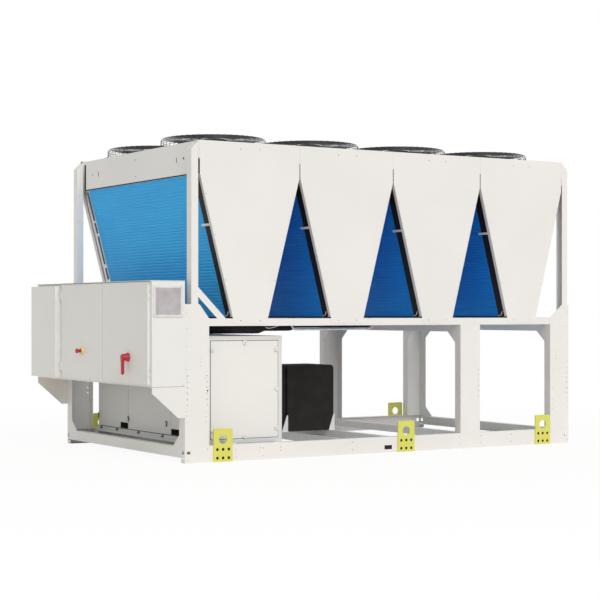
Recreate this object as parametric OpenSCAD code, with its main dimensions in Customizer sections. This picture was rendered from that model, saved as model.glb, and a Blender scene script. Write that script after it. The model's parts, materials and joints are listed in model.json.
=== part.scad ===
// Air cooled water chiller: a sheet metal frame on legs carries four V-shaped coil modules,
// each under two fans, with the compressors, the evaporator and an electrical cabinet below.
// X runs along the unit from the cabinet, Y from the near long side to the far one, Z up.
// The sub-parts are drawn with X zero at the first coil module and Y zero at the near side,
// and placed() then puts the middle of the footprint on the origin. Millimetres.

/* [Overall] */
// Width over the two long sides
unit_w = 2236; // [2000:1:2400]
// Length of one coil and fan module
module_l = 900; // [880:1:960]
// Height of the fan deck above the ground
deck_z = 2470; // [2400:1:2600]
// Frame beyond the first module, at the cabinet end
left_overhang = 125; // [110:1:180]
// Frame beyond the last module
right_overhang = 80; // [75:1:140]
// Gap left between pieces that are seated on each other
seat_gap = 0.3; // [0.1:0.1:0.6]

/* [Base frame] */
// Thickness of the frame sheet
frame_t = 3; // [2:0.5:4]
// Height of the base rails
base_rail_h = 128; // [110:1:150]
// Depth of the base rail flanges
base_rail_d = 60; // [40:1:80]
// Radius of the round holes at the rail ends
rail_hole_r = 17; // [10:0.5:22]
// Height of the round holes at the rail ends
rail_hole_z = 76; // [60:1:90]
// Distance of the round holes from the end of the frame
rail_hole_in = 32; // [28:1:45]
// Length of the slot in the base rails
rail_slot_l = 75; // [50:1:100]
// Height of the slot in the base rails
rail_slot_h = 34; // [20:1:45]
// Height of the slot's lower edge
rail_slot_z = 26; // [15:1:40]
// Place of the slot's middle along the unit
rail_slot_x = 1750; // [1700:1:1800]
// Width of the cross beams
beam_w = 60; // [40:1:80]
// Height of the cross beams
beam_h = 60; // [40:1:80]
// Height of the floor sheet behind the left end plate
floor_z = 62; // [40:1:64]
// Place of the first cross beam under the evaporator
evap_beam_x = 1330; // [1290:1:1380]
// Distance between the two cross beams under the evaporator
evap_beam_pitch = 475; // [440:1:500]

/* [End frames] */
// Height of the end plates above the ground
end_plate_z = 38; // [20:1:60]
// Height of the beam along the bottom of an end plate
end_beam_h = 82; // [60:1:100]
// Width of the upright strips of an end plate
end_strip_w = 95; // [85:1:120]
// Height of the top edge of the opening in an end plate
end_opening_z = 986; // [900:1:1020]
// Length of the slanted corners of that opening, along the width
end_corner_y = 106; // [60:1:140]
// Height of the slanted corners of that opening
end_corner_z = 90; // [60:1:120]

/* [Posts and rails] */
// Width of the lower posts
post_w = 206; // [180:1:230]
// Depth of the lower post flanges
post_d = 78; // [50:1:84]
// Place of the middle lower posts along the unit
mid_post_x = 2491; // [2440:1:2560]
// Radius of the small holes in the lower posts
post_hole_r = 4.5; // [3:0.5:6]
// Height of the lowest of those holes above the ground
post_hole_z = 440; // [400:1:480]
// Distance between those holes
post_hole_pitch = 45; // [36:1:50]
// Number of those holes in a column
post_hole_count = 6; // [2:1:10]
// Distance of those holes from the edges of a post
post_hole_in = 18; // [12:1:30]
// Height of the top of the mid rails, where the coil modules stand
rail_z = 1103; // [1060:1:1180]
// Height of the mid rails
rail_h = 58; // [45:1:80]
// Depth of the mid rail flanges
rail_d = 60; // [40:1:80]
// Height of the post gussets above the mid rails
gusset_h = 110; // [80:1:130]
// Width of the upper corner posts along the unit
upper_post_w = 59; // [50:1:66]
// Distance of the upper corner posts from the modules
upper_post_out = 9; // [4:1:16]
// Depth of the upper corner posts across the unit
upper_post_d = 75; // [60:1:90]
// Height of the slanted top corner of the upper posts
upper_cut_h = 70; // [40:1:90]
// Width of the flat corner braces
brace_w = 52; // [40:1:60]
// Height of the brace's upper edge above the mid rail
brace_h = 236; // [200:1:260]

/* [Coil modules] */
// Width of a coil module at its foot
foot_w = 312; // [290:1:340]
// Distance from the deck to the top of the open gap between two modules
gap_drop = 257; // [230:1:290]
// Height of the slit above that gap
slit_h = 114; // [80:1:140]
// Width of the slit between two modules
slit_w = 8; // [6:1:12]
// Gap between the tops of two side panels
panel_gap = 1; // [0.5:0.5:2]
// Depth of the folded edges of the side panels
panel_fold = 48; // [40:1:49]
// Length of the panel foot in front of the mid rail
panel_foot_h = 43; // [30:1:55]
// Size of the cut corners of the panel foot
panel_foot_cut = 15; // [8:1:20]
// Distance from the tray's wall to the coil face
tray_clear = 1; // [0.5:0.5:6]
// Thickness of a coil, measured level
coil_t = 46; // [30:1:60]
// Width of the coil header at the near side
header_near_w = 75; // [50:1:95]
// Width of the coil header at the far side
header_far_w = 100; // [60:1:120]
// Height of a slot in the coil's far end frame
header_slot_h = 240; // [180:1:280]
// Distance between the slots in the far end frame
header_slot_pitch = 330; // [300:1:350]
// Distance from the coil's foot to the lowest slot
header_slot_low = 90; // [60:1:120]
// Depth of the slots in the far end frame
header_slot_d = 40; // [20:1:60]
// Width of the end frame beside a slot
header_slot_rim = 10; // [6:1:16]
// Gap between the side panel and the coil headers
header_gap = 50; // [50:1:56]
// Height of the tray under a coil pair
tray_h = 12; // [8:1:16]
// Distance of the end covers from the long sides
skirt_in = 114; // [100:1:130]
// Distance from the top of the coils to the end covers
skirt_low = 10; // [6:1:20]
// Distance from the end covers to the deck's top
skirt_top = 4; // [2:1:8]

/* [Fans] */
// Distance of the fan rows from the long sides
fan_row_y = 610; // [570:1:640]
// Radius of the fan openings
fan_hole_r = 402; // [380:1:410]
// Depth of the fan ring below the deck
fan_ring_h = 110; // [80:1:140]
// Thickness of the fan ring
fan_ring_t = 3; // [2:0.5:5]
// Radius of the curved mouth at the foot of the fan ring
fan_mouth_r = 22; // [14:1:26]
// Clearance round the blade tips
tip_gap = 10; // [7:1:14]
// Radius of the fan hub
hub_r = 120; // [100:1:140]
// Size of the slanted lower edge of the fan hub
hub_edge = 18; // [8:1:24]
// Height of the fan hub
hub_h = 95; // [80:1:110]
// Number of fan blades
blade_count = 5; // [4:1:7]
// Chord of the fan blades at the hub
blade_root_chord = 148; // [120:1:150]
// Chord of the fan blades at the tip
blade_chord = 212; // [170:1:220]
// Thickness of the fan blades
blade_t = 7; // [4:0.5:9]
// Thickness of the blade edges, as a share of the middle
blade_edge_share = 0.35; // [0.3:0.05:0.8]
// Hollow of the fan blades between their edges
blade_camber = 11; // [4:1:14]
// Angle that the blade tips lean forward
blade_sweep = 13; // [0:1:18]
// How deep the blade roots reach into the hub
blade_root_in = 5; // [3:1:10]
// Pitch of the blades at the hub
hub_pitch = 34; // [26:1:38]
// Pitch of the blades at the tip
tip_pitch = 18; // [14:1:24]
// Thickness of the motor's fixed disc under the guard
motor_t = 36; // [24:1:40]
// Radius of the fan guards
guard_r = 428; // [424:1:436]
// Height of the fan guards above the deck
guard_h = 84; // [76:1:92]
// Thickness of the guard wires
wire_t = 5; // [4:0.5:8]
// Number of wire rings on a guard
guard_rings = 6; // [4:1:9]
// Number of arms on a guard
guard_arms = 8; // [6:1:12]

/* [Compressor housing] */
// Distance of the housing from the first module
housing_x = 121; // [110:1:150]
// Length of the housing
housing_l = 681; // [600:1:720]
// Distance of the housing from the long sides
housing_y = 116; // [100:1:150]
// Height of the housing's top above the ground
housing_z = 965; // [900:1:970]
// Width of the housing frame round the access panels
housing_rim = 38; // [30:1:50]
// Width of the recesses in the housing's end wall
recess_w = 150; // [100:1:180]
// Height of the recesses in the housing's end wall
recess_h = 50; // [30:1:70]
// Height of the recesses above the ground
recess_z = 162; // [150:1:200]
// Distance of the recesses' middle from the long sides
recess_y = 640; // [560:1:700]
// Depth of the recesses
recess_d = 16; // [8:1:24]
// Radius of the latches on the access panels
latch_r = 11; // [8:1:14]
// How far the latches stand proud of the panels
latch_out = 5; // [3:1:8]
// Distance of the latches from the panel's edge
latch_in = 14; // [12:1:24]
// Distance of the corner latches from the panel's upper and lower edges
latch_end = 70; // [50:1:120]
// Thickness of the access panels
panel_t = 20; // [12:1:30]
// How far the access panels stand proud
panel_proud = 2; // [0:0.5:5]

/* [Evaporator and pipes] */
// Height of the plates that hold the evaporator
evap_bracket_h = 140; // [100:1:180]
// Width of those plates at the top
evap_bracket_w = 12; // [8:1:24]
// Length of the evaporator
evap_l = 470; // [450:1:500]
// How far the evaporator's body reaches onto its first cross beam
evap_foot = 6; // [2:1:20]
// Length of the evaporator's end cover
evap_cover_l = 43; // [30:1:56]
// How far the end cover stays inside the evaporator's outline
evap_cover_in = 24; // [10:1:40]
// Depth of the evaporator
evap_d = 380; // [300:1:420]
// Height of the evaporator
evap_h = 569; // [500:1:620]
// Distance of the evaporator from the near side
evap_y = 950; // [900:1:1000]
// Radius of the evaporator's edges
evap_edge_r = 34; // [20:1:50]
// Radius of the insulated pipe
thick_pipe_r = 34; // [24:1:35]
// Radius of the insulated branch
thin_pipe_r = 13; // [10:1:16]
// Radius of the bare pipe
bare_pipe_r = 10; // [6:1:14]
// Radius of the insulated pipe to the third module
upper_pipe_r = 9; // [6:1:12]
// Distance between the pipes across the unit
pipe_pitch = 30; // [30:1:60]
// Rise of the bare pipe's slanted ends
pipe_rise = 35; // [20:1:45]
// Height of the insulated pipe's axis below the mid rail's top
thick_pipe_drop = 99; // [96:1:102]
// Height of the bare pipe's axis below the mid rail's top
bare_pipe_drop = 98; // [90:1:110]
// Height of the upper pipe's axis below the mid rail's top
upper_pipe_drop = 78; // [70:1:84]

/* [Electrical cabinet] */
// Depth of the cabinet
cabinet_d = 277; // [240:1:320]
// Height of the cabinet
cabinet_h = 801; // [760:1:840]
// Height of the cabinet above the ground
cabinet_z = 587; // [560:1:620]
// Thickness of the cabinet sheet
cabinet_t = 3; // [2:0.5:4]
// Thickness of the doors
door_t = 18; // [14:1:24]
// Distance of the right door's hinge edge from the near side
door_near_y = 40; // [30:1:50]
// Distance from the near side to the seam between the doors
door_seam_y = 850; // [820:1:890]
// Distance from the near side to the left door's hinge edge
door_far_y = 1676; // [1650:1:1694]
// Gap between the two doors
door_gap = 6; // [5:0.5:8]
// Gap between the doors and the cabinet's front
door_seal = 0.3; // [0.2:0.1:0.6]
// Distance from the cabinet's floor to the doors
door_low = 17; // [12:1:24]
// Distance from the doors to the cabinet's roof
door_top = 7; // [6:1:12]
// Width of the cabinet rim behind the doors
door_rim = 22; // [16:1:30]
// Depth of the side box in front of the cabinet
side_box_d = 60; // [40:1:70]
// Distance from the near side to the side box
side_box_y = 1713; // [1711:1:1760]
// Distance from the cabinet's floor to the side box
side_box_low = 14; // [8:1:20]
// Distance from the side box to the cabinet's top
side_box_top = 18; // [10:1:30]
// Overhang of the cabinet roof
roof_over = 5; // [2:1:8]
// Overhang of the cabinet roof past the doors
roof_front = 8; // [4:1:15]
// Thickness of the cabinet roof
roof_t = 3; // [2:0.5:5]
// Radius of the hinge barrels
hinge_r = 7; // [5:0.5:9]
// Radius of the hinge pins
hinge_pin_r = 3; // [2:0.5:4]
// Length of a hinge half
hinge_l = 30; // [20:1:40]
// Clearance between a hinge barrel and the door's edge
hinge_clear = 1; // [0.5:0.5:2]
// Distance of the hinges from the ends of the doors
hinge_in = 93; // [70:1:120]

/* [Mounting plate] */
// Distance of the mounting plate from the doors' edges
plate_margin = 40; // [30:1:60]
// Distance of the mounting plate from the cabinet's back
plate_stand = 30; // [20:1:50]
// Width of the cable ducts
duct_w = 40; // [25:1:60]
// Depth of the cable ducts
duct_d = 60; // [40:1:80]
// Width of a small device
device_w = 54; // [36:1:72]
// Height of a small device
device_h = 90; // [60:1:120]
// Depth of a small device
device_d = 75; // [50:1:100]
// Gap between two devices
device_gap = 4; // [2:0.5:10]
// Width of a fan drive
drive_w = 110; // [90:1:130]
// Height of a fan drive
drive_h = 130; // [100:1:150]
// Depth of a fan drive
drive_d = 120; // [90:1:160]
// Width and height of the main isolator
isolator_w = 110; // [90:1:114]
// Depth of the main isolator
isolator_d = 100; // [80:1:140]
// Radius of the main isolator's shaft
isolator_shaft_r = 6; // [4:0.5:8]

/* [Cabinet fittings] */
// Length of the filter grille
grille_l = 253; // [230:1:258]
// Height of the filter grille
grille_h = 246; // [200:1:270]
// Distance from the cabinet's roof to the grille
grille_top = 32; // [20:1:45]
// Distance from the cabinet's front to the grille
grille_in = 7; // [5:1:10]
// Width of the grille's rim
grille_rim = 22; // [14:1:30]
// Number of slats in the grille
grille_slats = 11; // [6:1:16]
// Depth of the grille
grille_d = 8; // [6:1:9]
// Distance from the near side to the handle
handle_y = 377; // [350:1:430]
// Height of the handle above the cabinet's floor
handle_z = 218; // [200:1:260]
// Distance that the handle stands out of the door
handle_out = 60; // [50:1:75]
// Radius of the handle's boss
handle_boss_r = 24; // [18:1:30]
// Radius of the handle's hub
handle_hub_r = 17; // [12:1:20]
// Length of the handle's lever
handle_lever = 136; // [110:1:160]
// Width of the handle's lever
handle_w = 26; // [20:1:32]
// Thickness of the handle's lever
handle_t = 18; // [12:1:24]
// Distance from the near side to the stop button
button_y = 1251; // [1210:1:1290]
// Height of the stop button above the cabinet's floor
button_z = 249; // [220:1:280]
// Radius of the stop button's collar
collar_r = 30; // [24:1:36]
// Thickness of the stop button's collar
collar_t = 12; // [8:1:16]
// Radius of the stop button's cap
cap_r = 20; // [16:1:24]
// Thickness of the stop button's cap
cap_t = 16; // [12:1:22]
// Slanted edge of the stop button's cap
cap_edge = 3; // [1:0.5:6]
// Radius of the stop button's stem
stem_r = 11; // [8:1:14]
// Clearance round the stop button's stem
stem_play = 0.3; // [0.2:0.1:0.6]
// Distance that the stop button stands out of the door
button_out = 55; // [45:1:59]
// Bracket height under the cabinet's front edge
bracket_front_h = 48; // [30:1:70]
// Bracket height at the frame
bracket_back_h = 239; // [200:1:260]
// Length of the bracket's level lower edge
bracket_flat = 56; // [40:1:80]

/* [Lifting lugs] */
// Place of the first lifting lug along the unit
lug_first_x = 201; // [190:1:300]
// Place of the middle lifting lug along the unit
lug_middle_x = 1924; // [1890:1:2000]
// Place of the last lifting lug along the unit
lug_last_x = 3379; // [3200:1:3386]
// Width of a lifting lug
lug_w = 165; // [140:1:200]
// Height of a lifting lug
lug_h = 255; // [230:1:290]
// Thickness of a lifting lug
lug_t = 10; // [9:0.5:14]
// Radius of the lifting eye
lug_eye_r = 36; // [25:0.5:40]
// Height of the lifting eye
lug_eye_z = 173; // [165:1:190]
// Radius of the lug's bolt holes
lug_hole_r = 12; // [8:0.5:14]
// Spacing of the lug's bolt holes along the unit
lug_hole_x = 50; // [40:1:56]
// Height of the lug's lower row of holes
lug_hole_z = 29; // [24:1:36]
// Height between the two rows of holes
lug_row_h = 66; // [55:1:72]
// Radius of the lug's top corners
lug_corner_r = 14; // [8:1:24]

/* [Hidden] */
module_count = 4;
header_slot_count = 3;
// Number of facets on round solids
$fn = 48;
// Overrun of every cut
over = 1;
modules_l = module_count * module_l;
gap_z = deck_z - gap_drop;
frame_x0 = -left_overhang;
frame_x1 = modules_l + right_overhang;
rail_x0 = frame_x0 + frame_t;
rail_x1 = frame_x1 - frame_t;
cabinet_x1 = frame_x0 - seat_gap;
side_box_h = cabinet_h - side_box_low - side_box_top;
cabinet_x0 = cabinet_x1 - cabinet_d;
door_x1 = cabinet_x0 - door_seal;
door_x0 = door_x1 - door_t;
front_x = door_x0 - handle_out;
middle_x = (front_x + frame_x1) / 2;
post_top_z = rail_z + gusset_h;
// Slant of the coil modules, as level run for each unit of height
slant = (module_l / 2 - slit_w / 2 - foot_w / 2) / (gap_z - rail_z);
// Distance from the panel's slanted edge to the coil face
coil_inset = frame_t + seat_gap + slant * tray_h + tray_clear;
coil_low_z = rail_z + frame_t + seat_gap;
coil_high_z = gap_z - seat_gap;
fan_rows_y = [fan_row_y, unit_w - fan_row_y];
guard_top_z = deck_z + guard_h;
rotor_top_z = guard_top_z - wire_t - motor_t - seat_gap;
blade_r0 = hub_r - blade_root_in;
blade_r1 = fan_hole_r - tip_gap;
beam_top_z = base_rail_h - frame_t - seat_gap;
housing_low_z = beam_top_z + seat_gap;
evap_x = evap_beam_x + beam_w / 2 - evap_foot;
evap_z = beam_top_z + seat_gap;
lug_xs = [lug_first_x, lug_middle_x, lug_last_x];

ivory = [0.93, 0.92, 0.89];
grey_ivory = [0.80, 0.81, 0.78];

// Moves the unit so that the middle of its footprint is the origin
module placed() {
    translate([-middle_x, -unit_w / 2, 0]) children();
}

// The same shape on the near long side and, mirrored, on the far one
module far_side() {
    translate([0, unit_w, 0]) mirror([0, 1, 0]) children();
}

module both_sides() {
    children();
    far_side() children();
}

// A flat outline in X and Z, made thick along Y
module sheet_xz(points, t) {
    translate([0, t, 0]) rotate([90, 0, 0]) linear_extrude(t) polygon(points);
}

// A flat outline in Y and Z, made thick along X
module sheet_yz(points, t) {
    rotate([90, 0, 90]) linear_extrude(t) polygon(points);
}

// A channel along X: web on Y zero, flanges towards +Y
module channel_x(l, d, h, t) {
    sheet_yz([[0, 0], [d, 0], [d, t], [t, t], [t, h - t], [d, h - t], [d, h], [0, h]], l);
}

// A closed rectangle with round corners
module round_rect(w, h, r) {
    translate([r, 0]) square([w - 2 * r, h]);
    translate([0, r]) square([w, h - 2 * r]);
    for (x = [r, w - r], y = [r, h - r]) translate([x, y]) circle(r);
}

module base_rail() {
    difference() {
        translate([rail_x0, 0, 0])
            channel_x(rail_x1 - rail_x0, base_rail_d, base_rail_h, frame_t);
        for (x = [frame_x0 + rail_hole_in, frame_x1 - rail_hole_in])
            translate([x, -over, rail_hole_z]) rotate([-90, 0, 0])
                cylinder(r = rail_hole_r, h = frame_t + 2 * over);
        translate([rail_slot_x - rail_slot_l / 2, -over, rail_slot_z])
            cube([rail_slot_l, frame_t + 2 * over, rail_slot_h]);
    }
}

module base_rails() {
    placed() color(ivory) both_sides() base_rail();
}

// The flat plate at one end, its opening with slanted corners and its two beams
module end_plate() {
    low = end_plate_z + end_beam_h;
    y0 = end_strip_w;
    y1 = unit_w - end_strip_w;
    difference() {
        translate([0, 0, end_plate_z]) cube([frame_t, unit_w, post_top_z - end_plate_z]);
        translate([-over, 0, 0]) sheet_yz([
            [y0 + end_corner_y, low], [y1 - end_corner_y, low],
            [y1, low + end_corner_z], [y1, end_opening_z - end_corner_z],
            [y1 - end_corner_y, end_opening_z], [y0 + end_corner_y, end_opening_z],
            [y0, end_opening_z - end_corner_z], [y0, low + end_corner_z]
        ], frame_t + 2 * over);
        translate([-over, y0, rail_z])
            cube([frame_t + 2 * over, y1 - y0, gusset_h + over]);
        for (y = [rail_hole_in, unit_w - rail_hole_in])
            translate([-over, y, rail_hole_z]) rotate([0, 90, 0])
                cylinder(r = rail_hole_r, h = frame_t + 2 * over);
    }
    for (z = [[end_plate_z, low], [end_opening_z, rail_z]], edge = [z[0], z[1] - frame_t])
        translate([0, y0, edge]) cube([beam_w, y1 - y0, frame_t]);
}

module end_frame_left() {
    placed() color(grey_ivory) translate([frame_x0, 0, 0]) end_plate();
}

module end_frame_right() {
    placed() color(grey_ivory) translate([frame_x1, 0, 0]) mirror([1, 0, 0]) end_plate();
}

// A cross beam between the base rails, its middle at x
module cross_beam(x) {
    translate([x - beam_w / 2, frame_t + seat_gap, beam_top_z - beam_h])
        cube([beam_w, unit_w - 2 * (frame_t + seat_gap), beam_h]);
}

// A pair of plates on a cross beam that hold the evaporator between them
module evap_bracket(x) {
    top = evap_bracket_h + over;
    for (y = [evap_y - seat_gap - frame_t, evap_y + evap_d + seat_gap])
        translate([x, y, beam_top_z - over]) sheet_xz([
            [-beam_w / 2, 0], [beam_w / 2, 0], [beam_w / 2, top],
            [beam_w / 2 - evap_bracket_w, top], [-beam_w / 2, over]
        ], frame_t);
}

// The sheet that closes the floor between the left end plate and the housing
module floor_sheet() {
    x0 = rail_x0 + seat_gap;
    y0 = base_rail_d + seat_gap;
    translate([x0, y0, floor_z + seat_gap])
        cube([housing_x - x0 + over, unit_w - 2 * y0, frame_t]);
}

module base_beams() {
    placed() color(grey_ivory) {
        cross_beam(housing_x + beam_w / 2);
        floor_sheet();
        cross_beam(housing_x + housing_l - beam_w / 2);
        cross_beam(mid_post_x + post_w / 2);
        for (x = [evap_beam_x, evap_beam_x + evap_beam_pitch]) {
            cross_beam(x);
            evap_bracket(x);
        }
    }
}

// A lower post: web in the side plane and two flanges, from the base rail up
module lower_post(outline, flanges) {
    x0 = outline[0][0];
    side = sign(outline[1][0] - x0);
    difference() {
        sheet_xz(outline, frame_t);
        for (x = [post_hole_in, post_w - post_hole_in], k = [0:post_hole_count - 1])
            translate([x0 + side * x, -over, post_hole_z + k * post_hole_pitch])
                rotate([-90, 0, 0]) cylinder(r = post_hole_r, h = frame_t + 2 * over);
    }
    for (f = flanges)
        translate([f[0], 0, base_rail_h + seat_gap])
            cube([frame_t, post_d, f[1] - base_rail_h - seat_gap]);
}

module lower_posts() {
    low = base_rail_h + seat_gap;
    left_x = rail_x0 + post_w;
    right_x = rail_x1 - post_w;
    lower_post([
        [rail_x0, low], [left_x, low], [left_x, rail_z], [0, post_top_z], [rail_x0, post_top_z]
    ], [[rail_x0, post_top_z], [left_x - frame_t, rail_z]]);
    lower_post([
        [rail_x1, low], [right_x, low], [right_x, rail_z],
        [modules_l, post_top_z], [rail_x1, post_top_z]
    ], [[rail_x1 - frame_t, post_top_z], [right_x, rail_z]]);
    mid_top = rail_z - rail_h - seat_gap;
    lower_post([
        [mid_post_x, low], [mid_post_x + post_w, low],
        [mid_post_x + post_w, mid_top], [mid_post_x, mid_top]
    ], [[mid_post_x, mid_top], [mid_post_x + post_w - frame_t, mid_top]]);
}

module lower_posts_near() {
    placed() color(ivory) lower_posts();
}

module lower_posts_far() {
    placed() color(ivory) far_side() lower_posts();
}

module mid_rail() {
    x0 = rail_x0 + post_w + seat_gap;
    x1 = rail_x1 - post_w - seat_gap;
    translate([x0, frame_t + seat_gap, rail_z - rail_h])
        channel_x(x1 - x0, rail_d, rail_h, frame_t);
}

module mid_rails() {
    placed() color(ivory) both_sides() mid_rail();
}

// A beam across the unit between two posts, with a slanted gusset at each end
module portal_beam() {
    y0 = post_d + seat_gap;
    y1 = unit_w - y0;
    low = end_opening_z - end_corner_z;
    top = rail_z - rail_h - seat_gap;
    sheet_yz([
        [y0, low], [y0 + end_corner_y, end_opening_z],
        [y1 - end_corner_y, end_opening_z], [y1, low], [y1, top], [y0, top]
    ], frame_t);
    for (z = [end_opening_z, top - frame_t])
        translate([0, y0 + end_corner_y, z])
            cube([beam_w, y1 - y0 - 2 * end_corner_y, frame_t]);
}

module portal_beams() {
    placed() color(grey_ivory) {
        translate([mid_post_x, 0, 0]) portal_beam();
        translate([mid_post_x + post_w, 0, 0]) mirror([1, 0, 0]) portal_beam();
        translate([rail_x1 - post_w, 0, 0]) portal_beam();
    }
}

// An upper corner post, drawn for the near corner at the cabinet end
module upper_post() {
    difference() {
        translate([-upper_post_out - upper_post_w, frame_t + seat_gap, rail_z])
            difference() {
                cube([upper_post_w, upper_post_d, deck_z - rail_z]);
                translate([frame_t, frame_t, -over])
                    cube([upper_post_w, upper_post_d - 2 * frame_t, deck_z - rail_z + 2 * over]);
            }
        translate([0, -over, 0]) sheet_xz([
            [-upper_post_out - upper_post_w - over, deck_z - upper_cut_h],
            [0, deck_z + over], [-upper_post_out - upper_post_w - over, deck_z + over]
        ], upper_post_d + frame_t + 3 * over);
    }
}

// A flat brace between an upper post and the mid rail
module corner_brace() {
    x0 = -upper_post_out - frame_t;
    x1 = brace_h - frame_t;
    drop = brace_w * sqrt(2);
    translate([0, 2 * frame_t + 2 * seat_gap, 0]) sheet_xz([
        [x0, rail_z + x1 - x0], [x1, rail_z + seat_gap],
        [x1 - drop, rail_z + seat_gap], [x0, rail_z + x1 - x0 - drop]
    ], frame_t);
}

module upper_posts() {
    placed() color(ivory) both_sides() {
        upper_post();
        translate([modules_l, 0, 0]) mirror([1, 0, 0]) upper_post();
        corner_brace();
    }
}

// The cover above the coil at one end, against the wall of the outermost fan deck
module end_skirt() {
    translate([slit_w / 2 - seat_gap - frame_t, skirt_in, gap_z + skirt_low])
        cube([frame_t, unit_w - 2 * skirt_in, deck_z - gap_z - skirt_low - skirt_top]);
}

module end_skirts() {
    placed() color(grey_ivory) {
        end_skirt();
        translate([modules_l, 0, 0]) mirror([1, 0, 0]) end_skirt();
    }
}

// Half width of a side panel at height z
function panel_half(z) = foot_w / 2 + slant * (z - rail_z);

// A folded edge of the side panel, just inside the panel's rim; side is 1 or -1
module panel_edge(side) {
    z0 = rail_z + tray_h;
    low = panel_half(z0) - seat_gap;
    high = panel_half(gap_z) - seat_gap;
    translate([0, frame_t / 2, 0]) sheet_xz([
        [side * low, z0], [side * high, gap_z],
        [side * (high - frame_t), gap_z], [side * (low - frame_t), z0]
    ], panel_fold - frame_t / 2);
}

module side_panel() {
    half = module_l / 2 - panel_gap / 2;
    low = rail_z - panel_foot_h;
    foot = foot_w / 2;
    sheet_xz([
        [foot - panel_foot_cut, low], [foot, low + panel_foot_cut], [foot, rail_z],
        [panel_half(gap_z), gap_z], [panel_half(gap_z), gap_z + slit_h],
        [half, gap_z + slit_h], [half, deck_z], [-half, deck_z],
        [-half, gap_z + slit_h], [-panel_half(gap_z), gap_z + slit_h],
        [-panel_half(gap_z), gap_z], [-foot, rail_z],
        [-foot, low + panel_foot_cut], [-foot + panel_foot_cut, low]
    ], frame_t);
    for (side = [-1, 1]) panel_edge(side);
}

module side_panels() {
    for (i = [0:module_count - 1])
        translate([(i + 1 / 2) * module_l, 0, 0]) side_panel();
}

module side_panels_near() {
    placed() color(ivory) side_panels();
}

module side_panels_far() {
    placed() color(ivory) far_side() side_panels();
}

// A leaning slab between the tray and the fan deck; side is 1 or -1
module leaning_slab(side, l) {
    low = panel_half(coil_low_z) - coil_inset;
    high = panel_half(coil_high_z) - coil_inset;
    sheet_xz([
        [side * low, coil_low_z], [side * high, coil_high_z],
        [side * (high - coil_t), coil_high_z], [side * (low - coil_t), coil_low_z]
    ], l);
}

module each_slab() {
    for (i = [0:module_count - 1])
        translate([(i + 1 / 2) * module_l, 0, 0]) children();
}

module coils() {
    y0 = header_gap + header_near_w;
    y1 = unit_w - header_gap - header_far_w;
    placed() color([0.20, 0.50, 0.80]) each_slab() for (side = [-1, 1])
        translate([0, y0, 0]) leaning_slab(side, y1 - y0);
}

// A slot through the lean of a coil slab, from height z up, open towards the coil's outside
module slab_slot(side, z) {
    low = panel_half(z) - coil_inset;
    high = panel_half(z + header_slot_h) - coil_inset;
    sheet_xz([
        [side * (low + over), z], [side * (high + over), z + header_slot_h],
        [side * (high - header_slot_d), z + header_slot_h], [side * (low - header_slot_d), z]
    ], header_far_w - 2 * header_slot_rim);
}

module coil_ends() {
    y1 = unit_w - header_gap - header_far_w;
    placed() color([0.12, 0.12, 0.12]) each_slab() for (side = [-1, 1]) {
        translate([0, header_gap, 0]) leaning_slab(side, header_near_w);
        difference() {
            translate([0, y1, 0]) leaning_slab(side, header_far_w);
            for (k = [0:header_slot_count - 1])
                translate([0, y1 + header_slot_rim, 0])
                    slab_slot(side, coil_low_z + header_slot_low + k * header_slot_pitch);
        }
    }
}

module coil_trays() {
    half = foot_w / 2 - seat_gap;
    y0 = frame_t + seat_gap;
    placed() color([0.62, 0.63, 0.62]) each_slab()
        translate([-half, y0, rail_z]) difference() {
            cube([2 * half, unit_w - 2 * y0, tray_h]);
            translate([frame_t, -over, frame_t])
                cube([2 * (half - frame_t), unit_w, tray_h]);
        }
}

// The curved mouth of a fan ring, from its foot outwards
module fan_mouth() {
    rotate_extrude() translate([fan_hole_r + fan_mouth_r, 0]) difference() {
        intersection() {
            circle(fan_mouth_r);
            translate([-fan_mouth_r, -fan_mouth_r]) square(fan_mouth_r);
        }
        circle(fan_mouth_r - fan_ring_t);
    }
}

// The top of one module: deck with two fan rings, and walls down to the coils
module fan_deck() {
    half = panel_half(gap_z);
    y0 = frame_t + seat_gap;
    l = unit_w - 2 * y0;
    difference() {
        union() {
            translate([-half, y0, deck_z - frame_t]) cube([2 * half, l, frame_t]);
            for (y = fan_rows_y)
                translate([0, y, deck_z - fan_ring_h])
                    cylinder(r = fan_hole_r + fan_ring_t, h = fan_ring_h);
        }
        for (y = fan_rows_y)
            translate([0, y, deck_z - fan_ring_h - over])
                cylinder(r = fan_hole_r, h = fan_ring_h + 2 * over);
    }
    for (y = fan_rows_y) translate([0, y, deck_z - fan_ring_h]) fan_mouth();
    for (side = [0, 1]) mirror([side, 0, 0]) {
        translate([half - frame_t, y0, gap_z]) cube([frame_t, l, deck_z - gap_z]);
        translate([half - coil_inset - coil_t, y0, gap_z])
            cube([coil_inset + coil_t, l, frame_t]);
    }
}

module fan_deck_at(i) {
    placed() color(ivory) translate([(i - 1 / 2) * module_l, 0, 0]) fan_deck();
}

module fan_deck_1() {
    fan_deck_at(1);
}

module fan_deck_2() {
    fan_deck_at(2);
}

module fan_deck_3() {
    fan_deck_at(3);
}

module fan_deck_4() {
    fan_deck_at(4);
}

// A flat ring with a square section
module wire_ring(r) {
    rotate_extrude() translate([r - wire_t, 0]) square([wire_t, wire_t]);
}

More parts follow.
